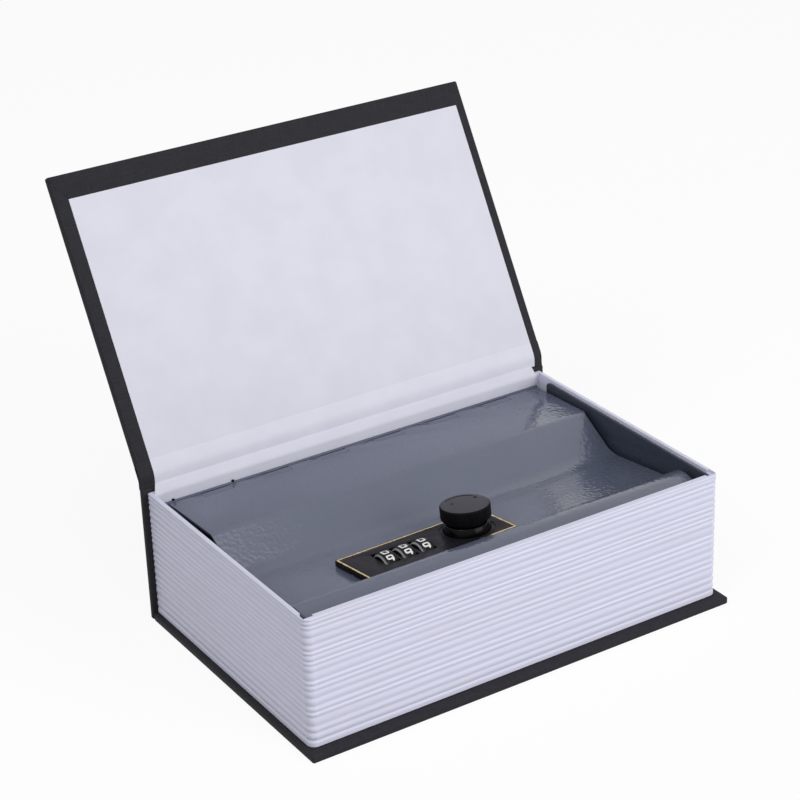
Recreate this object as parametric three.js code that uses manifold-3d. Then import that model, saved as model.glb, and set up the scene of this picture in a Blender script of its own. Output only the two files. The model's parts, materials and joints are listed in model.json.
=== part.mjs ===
// Book-shaped safe: a hardback book case round a ribbed page frame, with a steel box and a
// combination-locked steel lid inside.
// Millimetres. X runs along the book's length, -Y is the fore edge (front), +Y the spine, +Z up.
// The origin is the middle of the underside of the shut book. The model rests as photographed:
// the front board leans open and the unlatched lid stands slightly ajar.
import * as THREE from 'three';
import { mergeVertices } from 'three/addons/utils/BufferGeometryUtils.js';
import Module from 'manifold-3d';

const wasm = await Module();
wasm.setup();

const degree = Math.PI / 180;

// Clearances and drawing fineness
const fitGap = 0.3;
const workingGap = 0.5;
const cutOverrun = 2;
const roundSteps = 32;
const smallRoundSteps = 16;
const wheelSteps = 40;
const notchSteps = 8;
const fluteSteps = 4;
const filletStep = 8 * degree;

// Book case: boards wrapped in book cloth
const bookLength = 180;
const backBoardDepth = 115.9;
const backBoardThickness = 2.6;
const spineThickness = 2.5;
const spineAboveBlock = 1.5;
const frontBoardThickness = 2.1;
const boardCornerRadius = 1;
const frontBoardReach = 117.4;
const jointWidth = 6.5;
const hingeAboveBlock = 2.65;
const shutBoardGap = 0.9;
const coverOpenAngle = 119.7 * degree;
const clothThickness = 0.5;
const clothDip = 1.1;

// White paper
const paperThickness = 0.3;
const paperForeMargin = 9.5;
const paperLeftMargin = 5.85;
const paperRightMargin = 3.85;
const endpaperEndInset = 2.6;
const endpaperDrop = 4.3;

// Page frame: a moulded ring with page ribs
const blockHeight = 50.4;
const endOverhang = 2.05;
const foreOverhang = 4.45;
const frameSideWall = 1.6;
const frameFrontWall = 2.5;
const frameRearWall = 1.8;
const frameCornerRadius = 3;
const frameInnerRadius = 0.4;
const cornerSteps = 6;
const ribDepth = 0.45;
const lipRound = 0.35;
const cornerReliefLength = 3;
const cornerReliefWidth = 1;
const cornerReliefDepth = 1.3;
// How high each rib stands, from the bottom up, as shares of the height that they fill
const ribHeightShares = [
  0.9, 1.2, 1.1, 1.4, 0.8, 1.0, 1.2, 1.1, 0.9, 0.8, 1.3,
  1.0, 0.7, 0.9, 0.7, 1.0, 1.1, 1.1, 0.7, 0.8, 0.4,
];
// Where a rib's outline turns: the share of the rib's height, then the share of its depth
const ribOutlineShares = [[0, 0], [0.22, 0.75], [0.6, 1], [0.9, 0.6]];

// Steel box
const boxSheet = 1;
const boxBelowLip = 1.2;
const boxFrontBelowLip = 3;
const boxRearAboveHinge = 1.9;
const endWallCornerRadius = 2;
const endWallSetback = 6.2;
const endWallShoulder = 9;

// Lid hinge
const hingeBelowLip = 6.5;
const knuckleRadius = 2;
const pinRadius = 0.75;
const pinClearance = 0.25;
const knuckleCount = 13;
const knuckleEndInset = 2.2;
const leafHeight = 11;
const lidAjarAngle = 2.7 * degree;

// Lid: one bent sheet. Places run forward from the hinge axis, with the lid shut
const lidSheet = 1;
const lidEndGap = 1.6;
const troughEndInset = 0.5;
const flatBendRadius = 2;
const slopeAngle = 33.5 * degree;
const floorDrop = 11.25;
const valleyRadius = 12;
const floorRise = 4.35 * degree;
const floorBendRadius = 1.4;
const stripRise = 4.2;
const stripRiseRun = 1.4;
const stripCrown = 1.1;
const stripCrownRun = 4.6;
const stripFall = 1.9;
const stripFallRun = 6.6;
const stripRearRadius = 2.6;
const stripTopRadius = 8;
const stripFrontRadius = 3;
const flangeDrop = 7;
const flangeRun = 3;
const lidFrontGap = 0.75;

// Lock plate on the trough floor
const lockOffset = -18.5;
const plateFrontGap = 0.4;
const plateRearGap = 14.2;
const plateLength = 63.4;
const plateDepth = 23.4;
const plateThickness = 2;
const plateCornerRadius = 0.6;
const borderInset = 0.5;
const borderWidth = 0.5;
const borderThickness = 0.35;
const borderProud = 0.1;

// Number wheels
const wheelCount = 3;
const wheelRadius = 6.5;
const wheelWidth = 5.8;
const wheelPitch = 7.6;
const wheelProtrusion = 2.2;
const wheelEdgeBevel = 0.45;
const firstWheelPlace = -17.7;
const windowSideGap = 0.4;
const windowEndGap = 0.9;
const hubRadius = 2.4;
const hubLength = 0.3;
const detentRadius = 3.2;
const detentWidth = 1.2;
const detentCount = 10;
const detentDepth = 0.6;
const axleRadius = 1.2;

// Lock housing under the floor
const housingWall = 1.8;
const housingLength = 56;
const housingBottom = 14.5;
const housingEar = 5;
const earThickness = 2.2;
const wheelFloorGap = 0.8;
const springThickness = 0.4;
const springHeight = 3.8;
const springFingerWidth = 0.8;
const coverThickness = 1.2;
const screwRadius = 1.1;
const screwHeadRadius = 2.1;
const screwHeadHeight = 1.3;
const barLength = 26;
const barWidth = 3.4;
const barThickness = 1.4;
const barTravel = 1.5;
const barToothWidth = 1.2;
const barToothHeight = 1.6;
const resetLength = 3.4;
const resetWidth = 2.4;
const resetTravel = 3;
const resetStandOut = 1.6;
const resetPlace = -16;

// Knob, spindle and cam
const knobPlace = 17.2;
const knobCapRadius = 9.1;
const knobCapHeight = 5.1;
const knobHeight = 10;
const knobNeckRadius = 7;
const knobEdgeRound = 0.6;
const fluteCount = 30;
const fluteDepth = 0.3;
const collarRadius = 8.85;
const collarTopRadius = 7.9;
const collarHeight = 3.5;
const collarFoot = 0.8;
const collarGroove = 10.3;
const grooveWidth = 0.6;
const grooveDepth = 0.3;
const spindleRadius = 2.2;
const spindleSocket = 5;
const camLength = 25;
const camHubRadius = 5.2;
const camWidth = 7;
const camThickness = 1.6;

// Strike on the box's front wall
const strikeWidth = 22;
const strikeReach = 7;
const strikeLeg = 9;
const strikeThickness = 1.2;
const strikeGap = 0.8;

// Places that follow from the sizes
const footDepth = backBoardDepth + fitGap + spineThickness;
const foreEdgeY = -footDepth / 2;
const backBoardRearY = foreEdgeY + backBoardDepth;
const spineFrontY = backBoardRearY + fitGap;
const blockBottomZ = backBoardThickness + fitGap;
const blockTopZ = backBoardThickness + blockHeight;
const blockHalfLength = bookLength / 2 - endOverhang;
const blockFrontY = foreEdgeY + foreOverhang;
const blockRearY = backBoardRearY;
const frameInnerHalf = blockHalfLength - frameSideWall;
const frameInnerFrontY = blockFrontY + frameFrontWall;
const frameInnerRearY = blockRearY - frameRearWall;

const coverHingeY = spineFrontY + spineThickness / 2;
const coverHingeZ = blockTopZ + hingeAboveBlock;
const boardInnerZ = shutBoardGap - hingeAboveBlock;
const boardOuterZ = boardInnerZ + frontBoardThickness;

const boxOuterHalf = frameInnerHalf - fitGap;
const boxInnerHalf = boxOuterHalf - boxSheet;
const boxFrontY = frameInnerFrontY + fitGap;
const boxRearY = frameInnerRearY - fitGap;
const boxBottomZ = backBoardThickness + fitGap;

const lidHingeY = boxRearY - boxSheet - fitGap - fitGap - knuckleRadius;
const lidHingeZ = blockTopZ - hingeBelowLip;
const lidHalfWidth = boxInnerHalf - lidEndGap;
const knuckleLength = (2 * (lidHalfWidth - knuckleEndInset)) / knuckleCount;
const lidFrontReach = lidHingeY - boxFrontY - boxSheet - lidFrontGap;
const floorReach = lidFrontReach - flangeRun - stripFallRun - stripCrownRun - stripRiseRun;
const lockReach = floorReach - plateFrontGap - plateDepth / 2;
const slopeRun = floorDrop / Math.tan(slopeAngle);
const valleyReach = lockReach - plateDepth / 2 - plateRearGap;
const flatReach = valleyReach - slopeRun;
const valleyHeight = knuckleRadius - floorDrop;
const floorHeightAt = (reach) => valleyHeight + (reach - valleyReach) * Math.tan(floorRise);

const plateBottom = fitGap;
const plateTop = plateBottom + plateThickness;
const wheelAxisZ = plateTop + wheelProtrusion - wheelRadius;
const wheelPlaces = Array.from({ length: wheelCount }, (_, i) => firstWheelPlace + i * wheelPitch);
const windowHalf = Math.sqrt(wheelRadius ** 2 - (wheelRadius - wheelProtrusion) ** 2) + windowEndGap;
const pocketHalf = wheelRadius + springThickness + fitGap + fitGap;
const pocketLeft = firstWheelPlace - wheelWidth / 2 - hubLength - workingGap;
const pocketRight = wheelPlaces[wheelCount - 1] + wheelWidth / 2 + detentWidth + workingGap;
const pocketFloor = wheelAxisZ - wheelRadius - wheelFloorGap;
const housingHalfDepth = pocketHalf + housingWall;
const coverTop = -housingBottom - fitGap;
const coverBottom = coverTop - coverThickness;
const camTop = coverBottom - fitGap;
const camBottom = camTop - camThickness;
const screwPlace = housingLength / 2 + housingEar / 2;
const spindleTop = plateTop + workingGap + spindleSocket;
const borderLow = plateTop - borderThickness + borderProud;
const barLeft = firstWheelPlace - wheelWidth / 2;
const barTop = pocketFloor - housingWall + fitGap;
const coverScrewPlace = housingLength / 2 - screwHeadRadius - fitGap;
const coverScrewSide = housingHalfDepth - screwHeadRadius - fitGap;
const coverScrewTop = -housingBottom + earThickness;
const resetTop = -housingBottom + earThickness - fitGap;

// Shape helpers

function toSolid(geometry) {
  geometry.deleteAttribute('normal');
  geometry.deleteAttribute('uv');
  const merged = mergeVertices(geometry);
  const corners = merged.index.array;
  const faces = [];
  for (let i = 0; i < corners.length; i += 3) {
    const [a, b, c] = [corners[i], corners[i + 1], corners[i + 2]];
    if (a !== b && b !== c && c !== a) faces.push(a, b, c);
  }
  const mesh = new wasm.Mesh({
    numProp: 3,
    vertProperties: new Float32Array(merged.attributes.position.array),
    triVerts: new Uint32Array(faces),
  });
  return new wasm.Manifold(mesh);
}

function toGeometry(solid) {
  const mesh = solid.getMesh();
  const geometry = new THREE.BufferGeometry();
  geometry.setAttribute('position', new THREE.BufferAttribute(new Float32Array(mesh.vertProperties), 3));
  geometry.setIndex(new THREE.BufferAttribute(new Uint32Array(mesh.triVerts), 1));
  geometry.computeVertexNormals();
  return geometry;
}

// A box between two corners
function block([x0, y0, z0], [x1, y1, z1]) {
  const geometry = new THREE.BoxGeometry(x1 - x0, y1 - y0, z1 - z0);
  geometry.translate((x0 + x1) / 2, (y0 + y1) / 2, (z0 + z1) / 2);
  return toSolid(geometry);
}

// An outline in the XY plane, drawn up from z0 to z1
function slab(shape, z0, z1) {
  const geometry = new THREE.ExtrudeGeometry(shape, {
    depth: z1 - z0,
    bevelEnabled: false,
    curveSegments: smallRoundSteps,
  });
  geometry.translate(0, 0, z0);
  return toSolid(geometry);
}

// An outline of [y, z] points, drawn along X from x0 to x1
function bar(points, x0, x1) {
  const shape = new THREE.Shape(points.map(([y, z]) => new THREE.Vector2(y, z)));
  const geometry = new THREE.ExtrudeGeometry(shape, { depth: x1 - x0, bevelEnabled: false });
  const alongX = new THREE.Matrix4().makeBasis(
    new THREE.Vector3(0, 1, 0),
    new THREE.Vector3(0, 0, 1),
    new THREE.Vector3(1, 0, 0),
  );
  geometry.applyMatrix4(alongX);
  geometry.translate(x0, 0, 0);
  return toSolid(geometry);
}

// A round solid about the Z axis, from [radius, z] points that start and end on the axis
function turned(profile, steps = roundSteps) {
  const geometry = new THREE.LatheGeometry(profile.map(([r, z]) => new THREE.Vector2(r, z)), steps);
  geometry.rotateX(Math.PI / 2);
  return toSolid(geometry);
}

function rod(radius, z0, z1, steps = smallRoundSteps) {
  return turned([[0, z0], [radius, z0], [radius, z1], [0, z1]], steps);
}

function rodAlongX(radius, x0, x1, steps = smallRoundSteps) {
  return rod(radius, x0, x1, steps).rotate([0, 90, 0]);
}

function roundedRectangle(x0, y0, x1, y1, radius) {
  const shape = new THREE.Shape();
  shape.moveTo(x0 + radius, y0);
  shape.lineTo(x1 - radius, y0);
  shape.absarc(x1 - radius, y0 + radius, radius, -Math.PI / 2, 0);
  shape.lineTo(x1, y1 - radius);
  shape.absarc(x1 - radius, y1 - radius, radius, 0, Math.PI / 2);
  shape.lineTo(x0 + radius, y1);
  shape.absarc(x0 + radius, y1 - radius, radius, Math.PI / 2, Math.PI);
  shape.lineTo(x0, y0 + radius);
  shape.absarc(x0 + radius, y0 + radius, radius, Math.PI, 1.5 * Math.PI);
  return shape;
}

// A polyline with each inner corner [a, b, radius] rounded
function rounded(corners) {
  const points = [];
  corners.forEach(([a, b, radius], i) => {
    if (!radius || i === 0 || i === corners.length - 1) {
      points.push([a, b]);
      return;
    }
    const here = new THREE.Vector2(a, b);
    const back = new THREE.Vector2(corners[i - 1][0], corners[i - 1][1]).sub(here).normalize();
    const ahead = new THREE.Vector2(corners[i + 1][0], corners[i + 1][1]).sub(here).normalize();
    const half = Math.acos(THREE.MathUtils.clamp(back.dot(ahead), -1, 1)) / 2;
    const turn = Math.PI - 2 * half;
    const centre = back.clone().add(ahead).normalize().multiplyScalar(radius / Math.sin(half)).add(here);
    const start = back.clone().multiplyScalar(radius / Math.tan(half)).add(here).sub(centre);
    const side = Math.sign(back.x * ahead.y - back.y * ahead.x);
    const count = Math.max(2, Math.ceil(turn / filletStep));
    for (let k = 0; k <= count; k += 1) {
      const at = start.clone().rotateAround(new THREE.Vector2(), (-side * turn * k) / count).add(centre);
      points.push([at.x, at.y]);
    }
  });
  return points;
}

// The closed outline of a sheet: a path, and the same path moved aside by the thickness
function sheetOutline(path, thickness) {
  const moved = path.map(([a, b], i) => {
    const before = path[Math.max(i - 1, 0)];
    const after = path[Math.min(i + 1, path.length - 1)];
    const d0 = new THREE.Vector2(a - before[0], b - before[1]).normalize();
    const d1 = new THREE.Vector2(after[0] - a, after[1] - b).normalize();
    const along = i === 0 ? d1 : i === path.length - 1 ? d0 : d0.clone().add(d1).normalize();
    const stretch = i === 0 || i === path.length - 1 ? 1 : 1 / along.dot(d1);
    return [a - along.y * thickness * stretch, b + along.x * thickness * stretch];
  });
  return [...path, ...moved.reverse()];
}

// A closed ring of walls from rings of points, the last joined to the first
function ringWalls(rings) {
  const count = rings[0].length;
  const geometry = new THREE.BufferGeometry();
  const faces = [];
  rings.forEach((_, i) => {
    const next = (i + 1) % rings.length;
    for (let j = 0; j < count; j += 1) {
      const k = (j + 1) % count;
      const [a, b, c, d] = [i * count + j, i * count + k, next * count + k, next * count + j];
      faces.push(a, b, c, a, c, d);
    }
  });
  geometry.setAttribute('position', new THREE.Float32BufferAttribute(rings.flat(2), 3));
  geometry.setIndex(faces);
  return toSolid(geometry);
}

function piece(name, solid, look) {
  const mesh = new THREE.Mesh(toGeometry(solid), new THREE.MeshStandardMaterial(look));
  mesh.name = name;
  return mesh;
}

// Finishes
const clothLook = { color: '#2f2d34', roughness: 0.85, metalness: 0 };
const paperLook = { color: '#d9d9e4', roughness: 0.8, metalness: 0 };
const pageLook = { color: '#dcdcea', roughness: 0.45, metalness: 0 };
const boxLook = { color: '#2a303c', roughness: 0.5, metalness: 0.3 };
const lidLook = { color: '#6a7282', roughness: 0.4, metalness: 0.4 };
const steelLook = { color: '#9a9da3', roughness: 0.35, metalness: 1 };
const plateLook = { color: '#2b2930', roughness: 0.5, metalness: 0 };
const goldLook = { color: '#c9a85a', roughness: 0.3, metalness: 1 };
const wheelLook = { color: '#141416', roughness: 0.4, metalness: 0 };
const knobLook = { color: '#17171a', roughness: 0.55, metalness: 0 };
const collarLook = { color: '#0d0d0f', roughness: 0.15, metalness: 0 };
const zincLook = { color: '#8c8f94', roughness: 0.5, metalness: 0.8 };
const brassLook = { color: '#b08d4a', roughness: 0.35, metalness: 1 };

// Book case

function backBoard() {
  const half = bookLength / 2;
  const outline = roundedRectangle(-half, foreEdgeY, half, backBoardRearY, boardCornerRadius);
  return slab(outline, 0, backBoardThickness);
}

function spineBoard() {
  const half = bookLength / 2;
  return block([-half, spineFrontY, 0], [half, spineFrontY + spineThickness, blockTopZ + spineAboveBlock]);
}

// Drawn as if the book were shut, with the hinge axis at the origin
function frontBoard() {
  const half = bookLength / 2;
  const outline = roundedRectangle(-half, -frontBoardReach, half, -jointWidth, boardCornerRadius);
  return slab(outline, boardInnerZ, boardOuterZ);
}

function frontPasteDown() {
  const left = paperLeftMargin - bookLength / 2;
  const right = bookLength / 2 - paperRightMargin;
  const top = boardInnerZ - fitGap / 2;
  const fore = paperForeMargin - frontBoardReach;
  return block([left, fore, top - paperThickness], [right, -jointWidth, top]);
}

// A point of the open front board, given by its reach from the hinge and its height on the shut board
function onOpenBoard(reach, height) {
  const at = new THREE.Vector2(-reach, height).rotateAround(new THREE.Vector2(), -coverOpenAngle);
  return [coverHingeY + at.x, coverHingeZ + at.y];
}

// Book cloth from the spine board's top edge to the front board's outer corner
function frontJointCloth() {
  const foot = [spineFrontY + spineThickness, blockTopZ + spineAboveBlock + fitGap];
  const head = onOpenBoard(jointWidth - fitGap, boardOuterZ);
  const middle = [(foot[0] + head[0]) / 2 - clothDip, (foot[1] + head[1]) / 2];
  const path = rounded([foot, [...middle, jointWidth], head]);
  return bar(sheetOutline(path, clothThickness), -bookLength / 2, bookLength / 2);
}

// The endpaper's crease, between the front board and the rear wall of the frame
function jointEndpaper() {
  const left = paperLeftMargin - bookLength / 2;
  const right = bookLength / 2 - paperRightMargin;
  const head = onOpenBoard(jointWidth - fitGap, boardInnerZ - fitGap / 2);
  const foot = [blockRearY - fitGap, blockTopZ + fitGap + paperThickness + fitGap];
  const path = rounded([head, [foot[0], foot[1] + jointWidth / 2, jointWidth / 2], foot]);
  return bar(sheetOutline(path, -paperThickness), left, right);
}

// The endpaper glued over the frame's rear wall and down its inner face
function rearEndpaper() {
  const half = blockHalfLength - endpaperEndInset;
  const lowZ = blockTopZ - endpaperDrop;
  const topZ = blockTopZ + fitGap;
  const faceY = frameInnerRearY - fitGap;
  const upperZ = topZ + paperThickness;
  const flap = block([-half, faceY - paperThickness, topZ], [half, blockRearY - fitGap, upperZ]);
  const drop = block([-half, faceY - paperThickness, lowZ], [half, faceY, upperZ]);
  return flap.add(drop);
}

// Page frame

// Points round the block at one height: square rear corners and rounded fore-edge corners
function frameRing(halfLength, frontY, rearY, radius, z) {
  const ring = [[halfLength, rearY, z], [-halfLength, rearY, z]];
  [-1, 1].forEach((side) => {
    for (let k = 0; k <= cornerSteps; k += 1) {
      const share = side < 0 ? k / cornerSteps : 1 - k / cornerSteps;
      const turn = (share * Math.PI) / 2;
      const x = side * (halfLength - radius + radius * Math.cos(turn));
      ring.push([x, frontY + radius - radius * Math.sin(turn), z]);
    }
  });
  return ring;
}

function pageFrame() {
  const total = ribHeightShares.reduce((sum, share) => sum + share, 0);
  const rings = [];
  let low = blockBottomZ;
  const ringAt = (inset, z) => {
    const radius = frameCornerRadius - inset;
    rings.push(frameRing(blockHalfLength - inset, blockFrontY + inset, blockRearY, radius, z));
  };
  ribHeightShares.forEach((share) => {
    const height = ((blockTopZ - lipRound - blockBottomZ) * share) / total;
    ribOutlineShares.forEach(([rise, swell]) => ringAt(ribDepth * (1 - swell), low + height * rise));
    low += height;
  });
  ringAt(0, low);
  ringAt(lipRound, blockTopZ);
  const inner = (z) => frameRing(frameInnerHalf, frameInnerFrontY, frameInnerRearY, frameInnerRadius, z);
  rings.push(inner(blockTopZ), inner(blockBottomZ));
  return [-1, 1].reduce((frame, side) => frame.subtract(cornerRelief(side)), ringWalls(rings));
}

// Where the mould leaves the rim low at an inner fore-edge corner
function cornerRelief(side) {
  const outer = side * (frameInnerHalf + cornerReliefWidth);
  const inner = side * (frameInnerHalf - cornerReliefLength);
  const [left, right] = [Math.min(outer, inner), Math.max(outer, inner)];
  const frontY = frameInnerFrontY - cornerReliefWidth;
  const rearY = frameInnerFrontY + cornerReliefLength;
  const topZ = blockTopZ + cutOverrun;
  return block([left, frontY, blockTopZ - cornerReliefDepth], [right, rearY, topZ]);
}

// Steel box

function boxTray() {
  const half = boxInnerHalf - fitGap;
  const frontTop = blockTopZ - boxFrontBelowLip;
  const rearTop = lidHingeZ + boxRearAboveHinge;
  const path = [[boxFrontY, frontTop], [boxFrontY, boxBottomZ], [boxRearY, boxBottomZ], [boxRearY, rearTop]];
  return bar(sheetOutline(path, boxSheet), -half, half);
}

function boxEnd(side) {
  const topZ = blockTopZ - boxBelowLip;
  const upperRearY = boxRearY - endWallSetback;
  const shoulderZ = lidHingeZ - endWallShoulder;
  const corners = [
    [boxFrontY, boxBottomZ],
    [boxRearY, boxBottomZ],
    [boxRearY, shoulderZ, endWallCornerRadius],
    [upperRearY, shoulderZ, endWallCornerRadius],
    [upperRearY, topZ, endWallCornerRadius],
    [boxFrontY, topZ, endWallCornerRadius],
    [boxFrontY, boxBottomZ],
  ];
  const outline = rounded(corners).slice(0, -1);
  const faces = [side * boxInnerHalf, side * boxOuterHalf].sort((a, b) => a - b);
  return bar(outline, faces[0], faces[1]);
}

function strike() {
  const wallY = boxFrontY + boxSheet + fitGap;
  const tip = new THREE.Vector3(0, -camLength, camTop).applyMatrix4(shutLockPlace());
  const topZ = tip.z + strikeGap + strikeThickness;
  const path = [[wallY + strikeReach, topZ], [wallY, topZ], [wallY, topZ - strikeLeg]];
  const knobX = lockOffset + knobPlace;
  return bar(sheetOutline(path, strikeThickness), knobX - strikeWidth / 2, knobX + strikeWidth / 2);
}

// Lid hinge. Odd knuckles, counted from an end, belong to the lid and even ones to the box

function knuckleSpan(index) {
  const start = (index - knuckleCount / 2) * knuckleLength;
  return [start + fitGap / 2, start + knuckleLength - fitGap / 2];
}

function knuckle(index) {
  const [x0, x1] = knuckleSpan(index);
  const bore = rodAlongX(pinRadius + pinClearance, x0 - cutOverrun, x1 + cutOverrun);
  return rodAlongX(knuckleRadius, x0, x1).subtract(bore);
}

// The box's leaf, drawn with the hinge axis at the origin
function hingeLeaf() {
  const half = (knuckleCount * knuckleLength) / 2 - knuckleLength;
  const low = knuckleRadius + workingGap;
  let leaf = block([-half, knuckleRadius - boxSheet, -leafHeight], [half, knuckleRadius, -low]);
  for (let index = 1; index < knuckleCount; index += 2) {
    const [x0, x1] = knuckleSpan(index);
    const web = block([x0, knuckleRadius - boxSheet, -low - boxSheet], [x1, knuckleRadius, 0]);
    const bore = rodAlongX(pinRadius + pinClearance, x0 - cutOverrun, x1 + cutOverrun);
    leaf = leaf.add(web).add(knuckle(index)).subtract(bore);
  }
  return leaf;
}

function hingePin() {
  const half = (knuckleCount * knuckleLength) / 2;
  return rodAlongX(pinRadius, -half, half);
}

// Lid, drawn shut with the hinge axis at the origin

function lidTopPath() {
  const floorFront = floorHeightAt(floorReach);
  const rear = floorReach + stripRiseRun;
  const crown = rear + stripCrownRun;
  const front = crown + stripFallRun;
  const rearTop = floorFront + stripRise;
  const corners = [
    [0, knuckleRadius],
    [-flatReach, knuckleRadius, flatBendRadius],
    [-valleyReach, valleyHeight, valleyRadius],
    [-floorReach, floorFront, floorBendRadius],
    [-rear, rearTop, stripRearRadius],
    [-crown, rearTop + stripCrown, stripTopRadius],
    [-front, rearTop + stripCrown - stripFall, stripFrontRadius],
    [-front - flangeRun, rearTop + stripCrown - stripFall - flangeDrop],
  ];
  return rounded(corners);
}

function lid() {
  let sheet = bar(sheetOutline(lidTopPath(), lidSheet), -lidHalfWidth, lidHalfWidth);
  const reach = -floorReach - stripCrownRun - stripFallRun - flangeDrop - cutOverrun;
  [-1, 1].forEach((side) => {
    const faces = [side * (lidHalfWidth - troughEndInset), side * (lidHalfWidth + cutOverrun)];
    const [x0, x1] = faces.sort((a, b) => a - b);
    const low = [x0, reach, valleyHeight - flangeDrop - cutOverrun];
    sheet = sheet.subtract(block(low, [x1, -flatReach, knuckleRadius + cutOverrun]));
  });
  for (let index = 0; index < knuckleCount; index += 1) {
    const [x0, x1] = knuckleSpan(index);
    const notch = [
      [x0 - fitGap, -knuckleRadius - workingGap, -knuckleRadius],
      [x1 + fitGap, knuckleRadius, knuckleRadius + cutOverrun],
    ];
    sheet = index % 2 ? sheet.subtract(block(...notch)) : sheet.add(knuckle(index));
  }
  const opening = housingLength / 2 + fitGap;
  const depth = housingHalfDepth + fitGap;
  let cutter = block([-opening, -depth, -lidSheet - cutOverrun], [opening, depth, cutOverrun]);
  [-1, 1].forEach((side) => {
    const hole = rod(screwRadius + fitGap, -lidSheet - cutOverrun, cutOverrun);
    cutter = cutter.add(hole.translate([side * screwPlace, 0, 0]));
  });
  const turnedCutter = cutter.rotate([-floorRise / degree, 0, 0]);
  return sheet.subtract(turnedCutter.translate([lockOffset, -lockReach, floorHeightAt(lockReach)]));
}

// Lock, drawn on the trough floor: Z = 0 is the floor's top face

function lockPlate() {
  const [halfX, halfY] = [plateLength / 2, plateDepth / 2];
  const outline = roundedRectangle(-halfX, -halfY, halfX, halfY, plateCornerRadius);
  let plate = slab(outline, plateBottom, plateTop);
  plate = plate.subtract(borderBar(fitGap, borderLow - fitGap, plateTop + cutOverrun));
  wheelPlaces.forEach((x) => {
    const side = wheelWidth / 2 + windowSideGap;
    const window = [[x - side, -windowHalf, 0], [x + side, windowHalf, plateTop + cutOverrun]];
    plate = plate.subtract(block(...window));
  });
  const reliefTop = wheelAxisZ + detentRadius + fitGap;
  plate = plate.subtract(block([pocketLeft, -wheelRadius, 0], [pocketRight, wheelRadius, reliefTop]));
  const bore = rod(spindleRadius + fitGap, 0, plateTop + cutOverrun).translate([knobPlace, 0, 0]);
  const [grooveLow, above] = [plateTop - grooveDepth, plateTop + cutOverrun];
  const outer = rod(collarGroove + grooveWidth / 2, grooveLow, above, roundSteps);
  const inner = rod(collarGroove - grooveWidth / 2, 0, above, roundSteps);
  plate = plate.subtract(bore).subtract(outer.subtract(inner).translate([knobPlace, 0, 0]));
  [-1, 1].forEach((side) => {
    const hole = rod(screwRadius + fitGap, 0, plateBottom + plateThickness / 2 + fitGap);
    plate = plate.subtract(hole.translate([side * screwPlace, 0, 0]));
  });
  return plate;
}

// The rectangular band of the border, widened by a margin on each side
function borderBar(margin, z0, z1) {
  const [halfX, halfY] = [plateLength / 2 - borderInset, plateDepth / 2 - borderInset];
  const outer = block([-halfX - margin, -halfY - margin, z0], [halfX + margin, halfY + margin, z1]);
  const [inX, inY] = [halfX - borderWidth - margin, halfY - borderWidth - margin];
  return outer.subtract(block([-inX, -inY, z0 - cutOverrun], [inX, inY, z1 + cutOverrun]));
}

function plateBorder() {
  return borderBar(0, borderLow, plateTop + borderProud);
}

function wheel() {
  const rim = [
    [0, -wheelWidth / 2],
    [wheelRadius - wheelEdgeBevel, -wheelWidth / 2],
    [wheelRadius, wheelEdgeBevel - wheelWidth / 2],
    [wheelRadius, wheelWidth / 2 - wheelEdgeBevel],
    [wheelRadius - wheelEdgeBevel, wheelWidth / 2],
    [0, wheelWidth / 2],
  ];
  const hub = rod(hubRadius, -wheelWidth / 2 - hubLength, 0);
  const detentEnd = wheelWidth / 2 + detentWidth;
  let detent = rod(detentRadius, 0, detentEnd, roundSteps);
  for (let i = 0; i < detentCount; i += 1) {
    const turn = (i * 2 * Math.PI) / detentCount;
    const at = [detentRadius * Math.cos(turn), detentRadius * Math.sin(turn), 0];
    const notch = rod(detentDepth, wheelWidth / 2, detentEnd + cutOverrun, notchSteps);
    detent = detent.subtract(notch.translate(at));
  }
  const bore = rod(axleRadius + fitGap, -wheelWidth, wheelWidth);
  return turned(rim, wheelSteps).add(hub).add(detent).subtract(bore).rotate([0, 90, 0]);
}

function wheelAxle() {
  const overhang = housingWall - fitGap;
  return rodAlongX(axleRadius, pocketLeft - overhang, pocketRight + overhang).translate([0, 0, wheelAxisZ]);
}

function lockHousing() {
  const half = housingLength / 2;
  const depth = housingHalfDepth;
  const earTop = -lidSheet - fitGap;
  const ear = half + housingEar;
  let body = block([-half, -depth, -housingBottom], [half, depth, 0]);
  body = body.add(block([-ear, -depth, earTop - earThickness], [ear, depth, earTop]));
  body = body.subtract(block([pocketLeft, -pocketHalf, pocketFloor], [pocketRight, pocketHalf, cutOverrun]));
  const slot = axleRadius + fitGap;
  const slotLow = [pocketLeft - housingWall, -slot, wheelAxisZ - slot];
  body = body.subtract(block(slotLow, [pocketRight + housingWall, slot, cutOverrun]));
  const bore = rod(spindleRadius + fitGap, -housingBottom - cutOverrun, cutOverrun);
  body = body.subtract(bore.translate([knobPlace, 0, 0]));
  body = body.subtract(barChannel()).subtract(resetRecess());
  [-1, 1].forEach((side) => {
    const earHole = rod(screwRadius + fitGap, earTop - earThickness - cutOverrun, cutOverrun);
    const coverHole = rod(screwRadius + fitGap, -housingBottom - cutOverrun, coverScrewTop + fitGap);
    body = body.subtract(earHole.translate([side * screwPlace, 0, 0]));
    body = body.subtract(coverHole.translate([side * coverScrewPlace, side * coverScrewSide, 0]));
  });
  return body;
}

// The room for the locking bar under the wheels, with a slot for each of its teeth
function barChannel() {
  const half = barWidth / 2 + fitGap;
  const right = barLeft + barLength + barTravel + fitGap;
  let room = block([barLeft - fitGap, -half, -housingBottom - cutOverrun], [right, half, barTop + fitGap]);
  wheelPlaces.forEach((x) => {
    const side = barToothWidth / 2 + fitGap;
    const slotHigh = [x + side + barTravel, half, pocketFloor + fitGap];
    room = room.add(block([x - side, -half, barTop - fitGap], slotHigh));
  });
  return room;
}

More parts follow.
